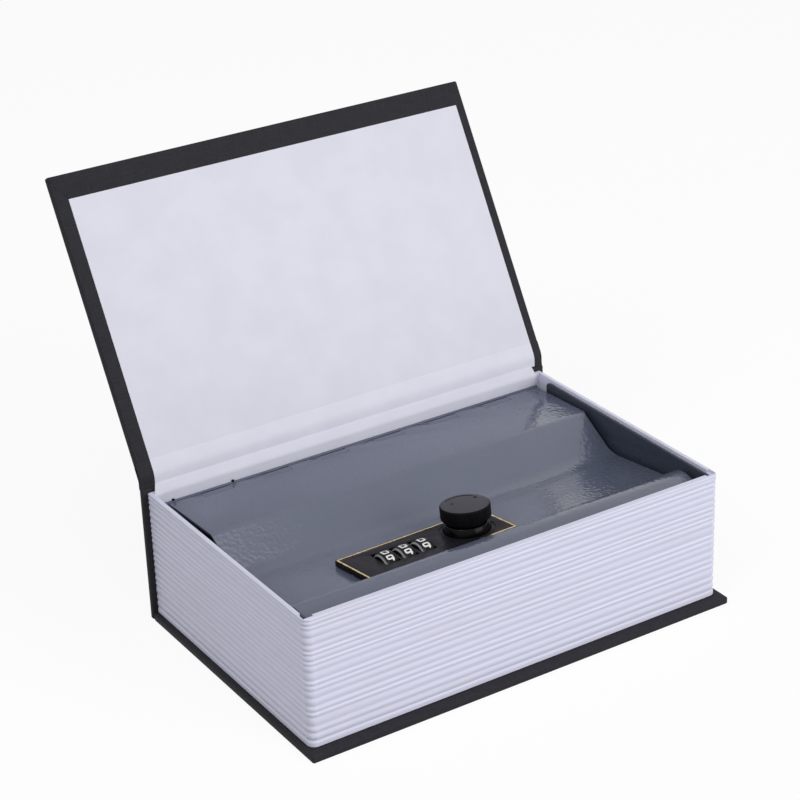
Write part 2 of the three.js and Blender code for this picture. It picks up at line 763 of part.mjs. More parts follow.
function lockingBar() {
  const right = barLeft + barLength;
  let body = block([barLeft, -barWidth / 2, barTop - barThickness], [right, barWidth / 2, barTop]);
  wheelPlaces.forEach((x) => {
    const side = barToothWidth / 2;
    const tip = [x + side, barWidth / 2, barTop + barToothHeight];
    body = body.add(block([x - side, -barWidth / 2, barTop - barThickness], tip));
  });
  return body;
}

function resetRecess() {
  const half = resetWidth / 2 + fitGap;
  const y0 = housingHalfDepth - housingWall - resetWidth;
  const low = [resetPlace - resetLength / 2 - fitGap, y0 - half, -housingBottom - cutOverrun];
  const right = resetPlace + resetLength / 2 + resetTravel + fitGap;
  return block(low, [right, y0 + half, resetTop + fitGap]);
}

function resetLever() {
  const half = resetWidth / 2;
  const y0 = housingHalfDepth - housingWall - resetWidth;
  const low = [resetPlace - resetLength / 2, y0 - half, coverBottom - resetStandOut];
  return block(low, [resetPlace + resetLength / 2, y0 + half, resetTop]);
}

function housingCover() {
  const [halfX, halfY] = [housingLength / 2, housingHalfDepth];
  let cover = slab(roundedRectangle(-halfX, -halfY, halfX, halfY, plateCornerRadius), coverBottom, coverTop);
  const bore = rod(spindleRadius + fitGap, coverBottom - cutOverrun, coverTop + cutOverrun);
  cover = cover.subtract(bore.translate([knobPlace, 0, 0])).subtract(resetRecess());
  [-1, 1].forEach((side) => {
    const hole = rod(screwRadius + fitGap, coverBottom - cutOverrun, coverTop + cutOverrun);
    cover = cover.subtract(hole.translate([side * coverScrewPlace, side * coverScrewSide, 0]));
  });
  return cover;
}

function screw(headZ, topZ) {
  const head = rod(screwHeadRadius, headZ - screwHeadHeight, headZ);
  return head.add(rod(screwRadius, headZ - screwHeadHeight / 2, topZ));
}

function plateScrew(side) {
  const headZ = -lidSheet - fitGap - earThickness - fitGap;
  return screw(headZ, plateBottom + plateThickness / 2).translate([side * screwPlace, 0, 0]);
}

function coverScrew(side) {
  const place = [side * coverScrewPlace, side * coverScrewSide, 0];
  return screw(coverBottom - fitGap, coverScrewTop).translate(place);
}

// A comb of spring fingers, one beside each wheel's detent ring
function detentSpring() {
  const outerY = -pocketHalf + fitGap;
  const [left, right] = [pocketLeft + workingGap, pocketRight - workingGap];
  const lowZ = wheelAxisZ - springHeight / 2;
  let comb = block([left, outerY, lowZ], [right, outerY + springThickness, lowZ + springHeight]);
  wheelPlaces.forEach((x) => {
    const start = x + wheelWidth / 2 + fitGap;
    const low = [start, outerY, wheelAxisZ - springThickness / 2];
    const tipY = -detentRadius - fitGap;
    comb = comb.add(block(low, [start + springFingerWidth, tipY, wheelAxisZ + springThickness / 2]));
  });
  return comb;
}

// Knob, drawn on its own axis

function knob() {
  const low = plateTop + workingGap;
  const top = plateTop + knobHeight;
  const capLow = top - knobCapHeight;
  const body = turned([
    [0, low],
    [knobNeckRadius, low],
    [knobNeckRadius, capLow],
    [knobCapRadius - knobEdgeRound / 2, capLow],
    [knobCapRadius, capLow + knobEdgeRound / 2],
    [knobCapRadius, top - knobEdgeRound],
    [knobCapRadius - knobEdgeRound, top],
    [0, top],
  ], 2 * fluteCount);
  let flutes = rod(spindleRadius + fitGap, 0, spindleTop + fitGap);
  for (let i = 0; i < fluteCount; i += 1) {
    const turn = ((i + 1 / 2) * 2 * Math.PI) / fluteCount;
    const at = [knobCapRadius * Math.cos(turn), knobCapRadius * Math.sin(turn), 0];
    const groove = rod(fluteDepth, capLow - cutOverrun, top - knobEdgeRound, fluteSteps);
    flutes = flutes.add(groove.translate(at));
  }
  return body.subtract(flutes);
}

function knobCollar() {
  const low = plateTop + fitGap;
  const top = plateTop + collarHeight;
  const body = turned([
    [0, low],
    [collarRadius - collarFoot / 2, low],
    [collarRadius, low + collarFoot],
    [collarTopRadius, top],
    [0, top],
  ]);
  const bore = rod(knobNeckRadius + fitGap, low - cutOverrun, top + cutOverrun, roundSteps);
  return body.subtract(bore);
}

function spindle() {
  const thread = rod(screwRadius + fitGap, camBottom - cutOverrun, camTop + cutOverrun);
  return rod(spindleRadius, camBottom + fitGap, spindleTop).subtract(thread);
}

// The cam points sideways while unlocked, towards +X
function cam() {
  const arm = new THREE.Shape();
  arm.moveTo(0, -camWidth / 2);
  arm.lineTo(camLength - camWidth / 2, -camWidth / 2);
  arm.absarc(camLength - camWidth / 2, 0, camWidth / 2, -Math.PI / 2, Math.PI / 2);
  arm.lineTo(0, camWidth / 2);
  const hub = rod(camHubRadius, camBottom, camTop, roundSteps);
  const bore = rod(spindleRadius + fitGap, camBottom - cutOverrun, camTop + cutOverrun);
  return slab(arm, camBottom, camTop).add(hub).subtract(bore);
}

function camScrew() {
  const headZ = camBottom - fitGap;
  const head = rod(screwHeadRadius + screwRadius, headZ - screwHeadHeight, headZ);
  return head.add(rod(screwRadius, headZ - screwHeadHeight / 2, camTop));
}

// Placing the groups

// From the knob's own axis to the object, with the lid shut
function shutLockPlace() {
  const lockPlace = new THREE.Matrix4().makeTranslation(lockOffset, -lockReach, floorHeightAt(lockReach));
  const hinge = new THREE.Matrix4().makeTranslation(0, lidHingeY, lidHingeZ);
  const lean = new THREE.Matrix4().makeRotationX(-floorRise);
  return hinge.multiply(lockPlace).multiply(lean);
}

function bookCase() {
  const group = new THREE.Group();
  group.add(piece('back_board', backBoard(), clothLook));
  group.add(piece('spine_board', spineBoard(), clothLook));
  group.add(piece('front_joint_cloth', frontJointCloth(), clothLook));
  group.add(piece('joint_endpaper', jointEndpaper(), paperLook));
  group.add(piece('rear_endpaper', rearEndpaper(), paperLook));
  const cover = new THREE.Group();
  cover.add(piece('front_board', frontBoard(), clothLook));
  cover.add(piece('front_paste_down', frontPasteDown(), paperLook));
  cover.position.set(0, coverHingeY, coverHingeZ);
  cover.rotation.x = -coverOpenAngle;
  group.add(cover);
  return group;
}

function safeBody() {
  const group = new THREE.Group();
  group.add(piece('page_frame', pageFrame(), pageLook));
  group.add(piece('box_tray', boxTray(), boxLook));
  group.add(piece('box_end_left', boxEnd(-1), boxLook));
  group.add(piece('box_end_right', boxEnd(1), boxLook));
  group.add(piece('strike_bracket', strike(), steelLook));
  const hinge = new THREE.Group();
  hinge.add(piece('box_hinge_leaf', hingeLeaf(), lidLook));
  hinge.add(piece('hinge_pin', hingePin(), steelLook));
  hinge.position.set(0, lidHingeY, lidHingeZ);
  group.add(hinge);
  return group;
}

function lock() {
  const group = new THREE.Group();
  group.add(piece('lock_plate', lockPlate(), plateLook));
  group.add(piece('plate_border', plateBorder(), goldLook));
  group.add(piece('lock_housing', lockHousing(), zincLook));
  group.add(piece('housing_cover', housingCover(), steelLook));
  group.add(piece('wheel_axle', wheelAxle(), steelLook));
  group.add(piece('detent_spring', detentSpring(), steelLook));
  group.add(piece('locking_bar', lockingBar(), brassLook));
  group.add(piece('reset_lever', resetLever(), brassLook));
  [['left', -1], ['right', 1]].forEach(([name, side]) => {
    group.add(piece(`plate_screw_${name}`, plateScrew(side), steelLook));
    group.add(piece(`cover_screw_${name}`, coverScrew(side), steelLook));
  });
  wheelPlaces.forEach((x, i) => {
    const mesh = piece(`number_wheel_${i + 1}`, wheel(), wheelLook);
    mesh.position.set(x, 0, wheelAxisZ);
    group.add(mesh);
  });
  const turning = new THREE.Group();
  turning.add(piece('knob', knob(), knobLook));
  turning.add(piece('knob_collar', knobCollar(), collarLook));
  turning.add(piece('spindle', spindle(), steelLook));
  turning.add(piece('latch_cam', cam(), steelLook));
  turning.add(piece('cam_screw', camScrew(), steelLook));
  turning.position.set(knobPlace, 0, 0);
  group.add(turning);
  group.position.set(lockOffset, -lockReach, floorHeightAt(lockReach));
  group.rotation.x = -floorRise;
  return group;
}

function lidAssembly() {
  const group = new THREE.Group();
  group.add(piece('lid', lid(), lidLook));
  group.add(lock());
  group.position.set(0, lidHingeY, lidHingeZ);
  group.rotation.x = -lidAjarAngle;
  return group;
}

const bookSafe = new THREE.Group();
bookSafe.add(bookCase(), safeBody(), lidAssembly());

export default bookSafe;
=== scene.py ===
"""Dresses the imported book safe: book cloth, paper, moulded page edges, enamelled steel and a wheel lock.

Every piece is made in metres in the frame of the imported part: X runs along the book, -Y is the fore edge,
+Z is up. Sizes are written in millimetres and turned to metres by mm(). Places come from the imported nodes
and joints. The pieces of the lid and of the front board are made as if the book were shut, with their hinge
axis at the origin, and then moved to where they rest.
"""

import json
import logging
import math
from dataclasses import dataclass
from enum import Enum
from typing import Any, Callable, Sequence

import bmesh
import bpy
from mathutils import Matrix, Vector, noise


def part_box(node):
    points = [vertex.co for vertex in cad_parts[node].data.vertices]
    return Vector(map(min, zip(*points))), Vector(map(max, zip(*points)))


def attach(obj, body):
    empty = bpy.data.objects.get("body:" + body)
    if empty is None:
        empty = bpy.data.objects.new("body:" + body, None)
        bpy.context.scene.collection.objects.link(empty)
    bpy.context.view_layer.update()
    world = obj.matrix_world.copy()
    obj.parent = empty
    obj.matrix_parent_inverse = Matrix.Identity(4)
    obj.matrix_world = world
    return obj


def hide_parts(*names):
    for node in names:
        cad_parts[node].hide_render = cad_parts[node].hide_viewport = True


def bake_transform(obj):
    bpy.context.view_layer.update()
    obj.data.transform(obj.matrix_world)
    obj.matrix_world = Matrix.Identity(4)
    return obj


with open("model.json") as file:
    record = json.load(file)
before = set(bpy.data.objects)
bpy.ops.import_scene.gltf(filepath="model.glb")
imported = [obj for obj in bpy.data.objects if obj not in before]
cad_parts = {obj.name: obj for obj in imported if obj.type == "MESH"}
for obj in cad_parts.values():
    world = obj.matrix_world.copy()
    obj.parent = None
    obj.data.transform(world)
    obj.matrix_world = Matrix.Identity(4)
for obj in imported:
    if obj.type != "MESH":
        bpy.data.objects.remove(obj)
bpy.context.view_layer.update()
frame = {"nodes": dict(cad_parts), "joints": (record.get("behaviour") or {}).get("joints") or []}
LOG = logging.getLogger("book_safe")
UP = Vector((0, 0, 1))
# Points nearer than this are at the same level
NEAR = 0.00001

# Short names for the types that recur
Piece = bpy.types.Object
Tree = bpy.types.NodeTree
Socket = bpy.types.NodeSocket
Point = tuple[float, float]
Picker = Callable[[Any], bool]


def mm(value: float) -> float:
    """Turns millimetres to metres."""
    return value * 0.001


class Axis(Enum):
    """The direction that a round piece runs along."""

    X = "X"
    Z = "Z"


class Part(Enum):
    """What of a piece is selected in edit mode."""

    VERTEX = "VERT"
    EDGE = "EDGE"
    FACE = "FACE"


class Body(Enum):
    """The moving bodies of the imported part."""

    BASE = "base"
    COVER = "cover"
    LID = "lid"
    KNOB = "knob"
    WHEEL_1 = "wheel_1"
    WHEEL_2 = "wheel_2"
    WHEEL_3 = "wheel_3"
    LOCKING_BAR = "locking_bar"
    RESET_LEVER = "reset_lever"


WHEEL_BODIES = (Body.WHEEL_1, Body.WHEEL_2, Body.WHEEL_3)


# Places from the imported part


def joint(name: str) -> dict[str, Any]:
    """Finds the record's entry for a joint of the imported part."""
    return next(entry for entry in frame["joints"] if entry["name"] == name)


def hinge_place(name: str, angle: float) -> Matrix:
    """Gives the move from shut, with the hinge's axis at the origin, to open by an angle where it rests."""
    return Matrix.Translation(joint(name)["pos_m"]) @ Matrix.Rotation(-angle, 4, "X")


def lock_place(knob_offset: float, plate_top: float) -> Matrix:
    """Gives the lock's place, with the trough floor's top at height zero under the plate's middle.

    Args:
        knob_offset: The knob's distance from the plate's middle.
        plate_top: The plate's top above the trough floor.

    Returns:
        The matrix from the lock's own frame to the part's own frame.
    """
    knob = joint("knob_turn")
    up = Vector(knob["axis"]).normalized()
    right = Vector((1, 0, 0))
    back = up.cross(right)
    origin = Vector(knob["pos_m"]) - up * plate_top - right * knob_offset
    turn = Matrix((right, back, up)).transposed().to_4x4()
    return Matrix.Translation(origin) @ turn


# Modelling by operators


def only(piece: Piece) -> None:
    """Selects one object alone and makes it active.

    Args:
        piece: The object.
    """
    if bpy.context.object and bpy.context.object.mode != "OBJECT":
        bpy.ops.object.mode_set(mode="OBJECT")
    bpy.ops.object.select_all(action="DESELECT")
    piece.select_set(True)
    bpy.context.view_layer.objects.active = piece


def settle(piece: Piece, place: Matrix | None = None) -> Piece:
    """Moves a piece by a matrix and puts its place into its mesh.

    Args:
        piece: The object.
        place: The move, or None to keep the piece where it is.

    Returns:
        The same object.
    """
    only(piece)
    if place is not None:
        piece.matrix_world = place @ piece.matrix_world
    bpy.ops.object.transform_apply(location=True, rotation=True, scale=True)
    return piece


def put_in_scene(name: str, data: bpy.types.ID) -> Piece:
    """Adds an object that shows a mesh, a curve, a camera or a lamp.

    Args:
        name: The object's name.
        data: What it shows.

    Returns:
        The new object, at the origin.
    """
    shown = bpy.data.objects.new(name, data)
    bpy.context.scene.collection.objects.link(shown)
    return shown


def new_primitive(name: str, add: Callable[..., Any], **settings: Any) -> Piece:
    """Adds a primitive with nothing else selected.

    Args:
        name: The object's name.
        add: The primitive's operator.
        **settings: The operator's size and place.

    Returns:
        The new object.
    """
    bpy.ops.object.select_all(action="DESELECT")
    add(**settings)
    piece = bpy.context.active_object
    piece.name = name
    return piece


def new_block(name: str, low: Sequence[float], high: Sequence[float]) -> Piece:
    """Adds a block between two corners.

    Args:
        name: The object's name.
        low: The lowest corner.
        high: The highest corner.

    Returns:
        The new object, with its place in its mesh.
    """
    start, end = Vector(low), Vector(high)
    piece = new_primitive(name, bpy.ops.mesh.primitive_cube_add, size=1, location=(start + end) / 2)
    piece.scale = end - start
    return settle(piece)


def new_round(name: str, radius: float, low: float, high: float, sides: int, axis: Axis = Axis.Z) -> Piece:
    """Adds a cylinder along an axis through the origin.

    Args:
        name: The object's name.
        radius: Its radius.
        low: Where it starts along the axis.
        high: Where it ends along the axis.
        sides: How many sides it has.
        axis: The axis that it runs along.

    Returns:
        The new object, with its place in its mesh.
    """
    add, middle = bpy.ops.mesh.primitive_cylinder_add, (0, 0, (low + high) / 2)
    piece = new_primitive(name, add, vertices=sides, radius=radius, depth=high - low, location=middle)
    settle(piece)
    if axis is Axis.X:
        settle(piece, Matrix.Rotation(math.pi / 2, 4, "Y"))
    return piece


def new_sheet(name: str, path: Sequence[Point], x0: float, x1: float) -> Piece:
    """Draws a thin sheet by extruding an edge along a path.

    Args:
        name: The object's name.
        path: The (y, z) points that the sheet runs through.
        x0: Its left end.
        x1: Its right end.

    Returns:
        The new object: one row of faces for each stretch of the path.
    """
    piece = new_primitive(name, bpy.ops.mesh.primitive_plane_add, size=1, location=(0, 0, 0))
    end = {vertex.index for vertex in piece.data.vertices if vertex.co.y > 0}
    for vertex in piece.data.vertices:
        vertex.co = (x0 if vertex.co.x < 0 else x1, *path[1 if vertex.index in end else 0])
    select_parts(piece, Part.EDGE, lambda edge: all(vertex.index in end for vertex in edge.verts))
    for (y0, z0), (y1, z1) in zip(path[1:], path[2:]):
        bpy.ops.mesh.extrude_region_move(TRANSFORM_OT_translate={"value": (0, y1 - y0, z1 - z0)})
    leave_edit()
    return piece


def new_stroke(name: str, path: Sequence[Point], radius: float, resolution: int) -> Piece:
    """Draws a round line along a path on the XY plane.

    Args:
        name: The object's name.
        path: The (x, y) points that it runs through.
        radius: Half its width.
        resolution: How finely its section is rounded.

    Returns:
        The new object, as a mesh.
    """
    curve = bpy.data.curves.new(name, "CURVE")
    curve.dimensions = "3D"
    curve.bevel_depth = radius
    curve.bevel_resolution = resolution
    curve.use_fill_caps = True
    spline = curve.splines.new("POLY")
    spline.points.add(len(path) - 1)
    for point, (x, y) in zip(spline.points, path):
        point.co = (x, y, 0, 1)
    only(put_in_scene(name, curve))
    bpy.ops.object.convert(target="MESH")
    return bpy.context.active_object


def at_level(level: float, axis: int = 2) -> Picker:
    """Gives a pick of the edges that lie at one level along an axis."""
    return lambda edge: all(abs(vertex.co[axis] - level) < NEAR for vertex in edge.verts)


def across_level(level: float) -> Picker:
    """Gives a pick of the edges that run through a level, such as a board's upright corners."""
    return lambda edge: (edge.verts[0].co.z - level) * (edge.verts[1].co.z - level) < 0


def select_parts(piece: Piece, kind: Part, pick: Picker = lambda part: True) -> None:
    """Opens a piece in edit mode with some of its parts selected.

    Args:
        piece: The object.
        kind: What is selected.
        pick: Says of each vertex, edge or face whether it is selected. All are, if it isn't given.
    """
    only(piece)
    bpy.ops.object.mode_set(mode="EDIT")
    bpy.ops.mesh.select_mode(type=kind.value)
    bpy.ops.mesh.select_all(action="DESELECT")
    mesh = bmesh.from_edit_mesh(piece.data)
    for part in {Part.VERTEX: mesh.verts, Part.EDGE: mesh.edges, Part.FACE: mesh.faces}[kind]:
        if pick(part):
            part.select_set(True)
    bmesh.update_edit_mesh(piece.data)


def leave_edit() -> None:
    """Goes back to object mode."""
    bpy.ops.object.mode_set(mode="OBJECT")


def bevel(piece: Piece, width: float, segments: int, pick: Picker) -> None:
    """Rounds some edges of a piece.

    Args:
        piece: The object.
        width: The bevel's offset.
        segments: How many steps the round has.
        pick: Says of each edge whether it is rounded.
    """
    select_parts(piece, Part.EDGE, pick)
    bpy.ops.mesh.bevel(offset=width, segments=segments, affect="EDGES", clamp_overlap=True)
    leave_edit()


def rounded_path(corners: Sequence[Point], radii: Sequence[float], step: float) -> list[Point]:
    """Rounds the inner corners of a path and divides it into short stretches.

    Args:
        corners: The path's (y, z) corners.
        radii: The radius at each inner corner.
        step: The longest stretch.

    Returns:
        The points of the rounded path.
    """
    spots = [Vector(corner) for corner in corners]
    points = [spots[0]]
    for before, here, after, radius in zip(spots, spots[1:], spots[2:], radii):
        arrive, leave = (here - before).normalized(), (after - here).normalized()
        turn = arrive.angle(leave)
        offset = radius * math.tan(turn / 2)
        start, end = here - arrive * offset, here + leave * offset
        count = max(2, math.ceil(turn * radius / step))
        for index in range(count + 1):
            share = index / count
            points.append(start.lerp(here, share).lerp(here.lerp(end, share), share))
    points.append(spots[-1])
    dense = [points[0]]
    for start, end in zip(points, points[1:]):
        count = max(1, math.ceil((end - start).length / step))
        dense += [start.lerp(end, index / count) for index in range(1, count + 1)]
    return [(point.x, point.y) for point in dense]


def solidify(sheet: Piece, thickness: float, seen: Vector) -> None:
    """Gives a sheet its thickness behind the face that is seen.

    Args:
        sheet: The sheet, drawn through its visible face.
        thickness: Its thickness.
        seen: The direction that the visible face looks to.
    """
    select_parts(sheet, Part.FACE)
    bpy.ops.mesh.normals_make_consistent(inside=False)
    leave_edit()
    facing = sum(polygon.normal.dot(seen) * polygon.area for polygon in sheet.data.polygons)
    modify(sheet, "SOLIDIFY", thickness=thickness, offset=-1 if facing > 0 else 1, use_even_offset=True)


def thicken_sheet(sheet: Piece, thickness: float, seen: Vector) -> None:
    """Gives a bent sheet its thickness behind the face that is seen, and soft edges.

    Args:
        sheet: The sheet, drawn through its visible face.
        thickness: Its thickness.
        seen: The direction that the visible face looks to.
    """
    solidify(sheet, thickness, seen)
    soften(sheet, thickness / 4, angle=60)


def copied(source: Piece, name: str) -> Piece:
    """Copies a piece, with a mesh and a name of its own."""
    return put_in_scene(name, source.data.copy())


def second_finish(piece: Piece, finish: "Finish", pick: Picker) -> None:
    """Gives some faces of a finished piece another finish.

    Args:
        piece: The object.
        finish: The other finish.
        pick: Says of each face whether it gets it.
    """
    piece.data.materials.append(finish.material())
    for polygon in piece.data.polygons:
        if pick(polygon):
            polygon.material_index = 1


def modify(piece: Piece, kind: str, **settings: Any) -> None:
    """Adds a modifier and applies it.

    Args:
        piece: The object.
        kind: The modifier's type.
        **settings: The modifier's properties.
    """
    only(piece)
    modifier = piece.modifiers.new(kind.title(), kind)
    for key, value in settings.items():
        setattr(modifier, key, value)
    bpy.ops.object.modifier_apply(modifier=modifier.name)


def cut(piece: Piece, *cutters: Piece) -> None:
    """Cuts pieces out of another, and deletes them.

    Args:
        piece: The object that is cut.
        *cutters: The objects whose shape is taken away.
    """
    for cutter in cutters:
        modify(piece, "BOOLEAN", object=cutter, operation="DIFFERENCE", solver="EXACT")
        bpy.data.objects.remove(cutter)


def join(name: str, *pieces: Piece) -> Piece:
    """Joins pieces into the first one.

    Args:
        name: The joined object's name.
        *pieces: The objects.

    Returns:
        The joined object.
    """
    only(pieces[0])
    for piece in pieces[1:]:
        piece.select_set(True)
    bpy.ops.object.join()
    pieces[0].name = name
    return pieces[0]


def soften(piece: Piece, width: float, angle: float = 50, segments: int = 2) -> None:
    """Rounds every edge of a piece that is sharper than an angle.

    Args:
        piece: The object.
        width: The width of the rounding.
        angle: The least angle, in degrees, between two faces whose edge is rounded.
        segments: How many steps the round has.
    """
    sharp = {"limit_method": "ANGLE", "angle_limit": math.radians(angle), "use_clamp_overlap": True}
    modify(piece, "BEVEL", width=width, segments=segments, harden_normals=False, **sharp)


def softened_copy(node: str, width: float, name: str) -> Piece:
    """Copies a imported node, merges its loose triangles and rounds its edges.

    Args:
        node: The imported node's name.
        width: The width of the rounding.
        name: The new object's name.

    Returns:
        The new object.
    """
    piece = copied(frame["nodes"][node], name)
    piece.data.materials.clear()
    select_parts(piece, Part.VERTEX)
    bpy.ops.mesh.remove_doubles(threshold=mm(0.001))
    bpy.ops.mesh.dissolve_limited(angle_limit=math.radians(1))
    bpy.ops.mesh.normals_make_consistent(inside=False)
    leave_edit()
    soften(piece, width)
    return piece


def recalculate(piece: Piece) -> None:
    """Makes a closed piece's faces point outwards.

    Args:
        piece: The object.
    """
    select_parts(piece, Part.FACE)
    bpy.ops.mesh.remove_doubles(threshold=mm(0.0005))
    bpy.ops.mesh.normals_make_consistent(inside=False)
    leave_edit()


def lay_uv(piece: Piece) -> None:
    """Gives a piece a UV map in metres, from the side that each face looks to.

    Args:
        piece: The object.
    """
    mesh = piece.data
    layer = mesh.uv_layers.new(name="metres") if not mesh.uv_layers else mesh.uv_layers[0]
    for polygon in mesh.polygons:
        main = max(range(3), key=lambda axis: abs(polygon.normal[axis]))
        axes = [axis for axis in range(3) if axis != main]
        for loop in polygon.loop_indices:
            point = mesh.vertices[mesh.loops[loop].vertex_index].co
            layer.data[loop].uv = (point[axes[0]], point[axes[1]])


# Finishes


def linear(code: str) -> tuple[float, float, float, float]:
    """Turns an sRGB hex colour to linear values.

    Args:
        code: The colour, such as "#d9d9e4".

    Returns:
        Linear red, green and blue, and an alpha of one.
    """
    parts = [int(code[i : i + 2], 16) / 255 for i in (1, 3, 5)]
    red, green, blue = (v / 12.92 if v <= 0.04045 else ((v + 0.055) / 1.055) ** 2.4 for v in parts)
    return red, green, blue, 1.0


def add_node(
    tree: Tree,
    kind: str,
    settings: dict[str, Any] | None = None,
    inputs: dict[Any, Any] | None = None,
) -> bpy.types.Node:
    """Adds a shader node with its settings, values and links.

    Args:
        tree: The material's node tree.
        kind: The node's type.
        settings: The node's own properties.
        inputs: A value for each input, by name or index. A socket is linked.

    Returns:
        The new node.
    """
    node = tree.nodes.new(kind)
    for key, value in (settings or {}).items():
        setattr(node, key, value)
    for key, value in (inputs or {}).items():
        if isinstance(value, Socket):
            tree.links.new(value, node.inputs[key])
        else:
            node.inputs[key].default_value = value
    return node


def empty_tree(owner: bpy.types.Material | bpy.types.World) -> Tree:
    """Gives the node tree of a material or world, cleared.

    Args:
        owner: The material or world.

    Returns:
        Its tree, with no nodes.
    """
    owner.use_nodes = True
    owner.node_tree.nodes.clear()
    return owner.node_tree


@dataclass(frozen=True)
class Surface:
    """A material while its pattern is drawn.

    Attributes:
        tree: Its node tree.
        places: The coordinates in metres, from the object or from its UV map, by name.
        shader: Its shader.
        finish: The finish that it has.
    """

    tree: Tree
    places: Any
    shader: bpy.types.Node
    finish: "Finish"

    def grain(self, vector: Socket, size: float | tuple[float, float, float], detail: float = 2) -> Socket:
        """Draws noise whose lumps have a real size.

        Args:
            vector: The coordinates.
            size: The lumps' size in metres, or their sizes along X, Y and Z.
            detail: How many finer octaves the noise has.

        Returns:
            The noise, around one half.
        """
        scale = 1.0
        if isinstance(size, tuple):
            stretch = {"Vector": vector, "Scale": tuple(1 / length for length in size)}
            vector = add_node(self.tree, "ShaderNodeMapping", inputs=stretch).outputs["Vector"]
        else:
            scale = 1 / size
        inputs = {"Vector": vector, "Scale": scale, "Detail": detail}
        return add_node(self.tree, "ShaderNodeTexNoise", inputs=inputs).outputs["Fac"]

    def vary_roughness(self, pattern: Socket, swing: float) -> None:
        """Lets the roughness follow a pattern.

        Args:
            pattern: The pattern, around one half.
            swing: How far the roughness moves each way.
        """
        least, most = max(self.finish.roughness - swing, 0.02), self.finish.roughness + swing
        limits = {"Value": pattern, "From Min": 0.3, "From Max": 0.7, "To Min": least, "To Max": most}
        spread = add_node(self.tree, "ShaderNodeMapRange", inputs=limits)
        self.tree.links.new(spread.outputs["Result"], self.shader.inputs["Roughness"])

    def vary_colour(self, pattern: Socket, other: str, low: float = 0.35, high: float = 0.65) -> None:
        """Mixes the base colour with another by a pattern.

        Args:
            pattern: The pattern, around one half.
            other: The other colour, as sRGB hex.
            low: The pattern's value at which the base colour is alone.
            high: The pattern's value at which the other colour is alone.
        """
        limits = {"Value": pattern, "From Min": low, "From Max": high}
        share = add_node(self.tree, "ShaderNodeMapRange", inputs=limits).outputs["Result"]
        colours = {0: share, 6: linear(self.finish.colour), 7: linear(other)}
        mixed = add_node(self.tree, "ShaderNodeMix", {"data_type": "RGBA"}, colours)
        self.tree.links.new(mixed.outputs[2], self.shader.inputs["Base Color"])

    def relief(self, *layers: tuple[Socket, float]) -> None:
        """Gives the surface bumps.

        Args:
            *layers: Pairs of a height pattern and its height in metres, the coarsest first.
        """
        under: dict[str, Socket] = {}
        for height, depth in layers:
            inputs = {"Height": height, "Distance": depth, "Strength": 1.0, **under}
            under = {"Normal": add_node(self.tree, "ShaderNodeBump", inputs=inputs).outputs["Normal"]}
        self.tree.links.new(under["Normal"], self.shader.inputs["Normal"])


@dataclass(frozen=True)
class Finish:
    """A finish: what a surface is made of and how it was made.

    Attributes:
        name: The material's name.
        colour: Its sRGB hex colour.
        roughness: How rough it is.
        slot: The record's material slot that it belongs to. It is not used.
        metallic: Zero, or one for bare metal.
        specular: The specular level of a non-metal.
    """

    name: str
    colour: str
    roughness: float
    slot: str
    metallic: float = 0.0
    specular: float = 0.5

    def material(self) -> bpy.types.Material:
        """Gives the material, made the first time that it is asked for.

        Returns:
            The material with its pattern.
        """
        made = bpy.data.materials.get(self.name)
        if made:
            return made
        made = bpy.data.materials.new(self.name)
        tree = empty_tree(made)
        values = {
            "Base Color": linear(self.colour),
            "Roughness": self.roughness,
            "Metallic": self.metallic,
            "Specular IOR Level": self.specular,
        }
        shader = add_node(tree, "ShaderNodeBsdfPrincipled", inputs=values)
        add_node(tree, "ShaderNodeOutputMaterial", inputs={"Surface": shader.outputs["BSDF"]})
        self.draw(Surface(tree, add_node(tree, "ShaderNodeTexCoord").outputs, shader, self))
        return made

    def draw(self, surface: Surface) -> None:
        """Draws the surface's pattern. Each kind of finish has its own."""
        raise NotImplementedError


@dataclass(frozen=True)
class BookCloth(Finish):
    """Book cloth: linen-look paper-backed cloth, pressed with a fine weave, nearly black.

    Attributes:
        thread: The spacing of its threads. Real ones lie about 0.4 mm apart, drawn coarser so that they show.
        slub: The length of its thicker stretches of thread.
        worn: The colour of rubbed thread tops.
    """

    thread: float = mm(0.6)
    slub: float = mm(7)
    worn: str = "#302f35"

    def draw(self, surface: Surface) -> None:
        """Draws warp and weft threads, slubs and a rubbed tone.

        Args:
            surface: The material that is drawn.
        """
        place = surface.places["UV"]
        waver = {"Distortion": 1.2, "Detail": 1.0, "Detail Scale": 0.4}
        threads = {}
        for index, direction in enumerate("XY"):
            bands = {"wave_type": "BANDS", "bands_direction": direction}
            inputs = {"Vector": place, "Scale": math.pi / 10 / self.thread, **waver}
            threads[index] = add_node(surface.tree, "ShaderNodeTexWave", bands, inputs).outputs["Fac"]
        weave = add_node(surface.tree, "ShaderNodeMath", {"operation": "MULTIPLY"}, threads)
        along = surface.grain(place, (self.slub, self.thread, 1), detail=3)
        across = surface.grain(place, (self.thread, self.slub, 1), detail=3)
        slubs = add_node(surface.tree, "ShaderNodeMath", {"operation": "MAXIMUM"}, {0: along, 1: across})
        surface.vary_colour(slubs.outputs["Value"], self.worn, 0.45, 0.75)
        surface.relief((slubs.outputs["Value"], mm(0.12)), (weave.outputs["Value"], mm(0.05)))


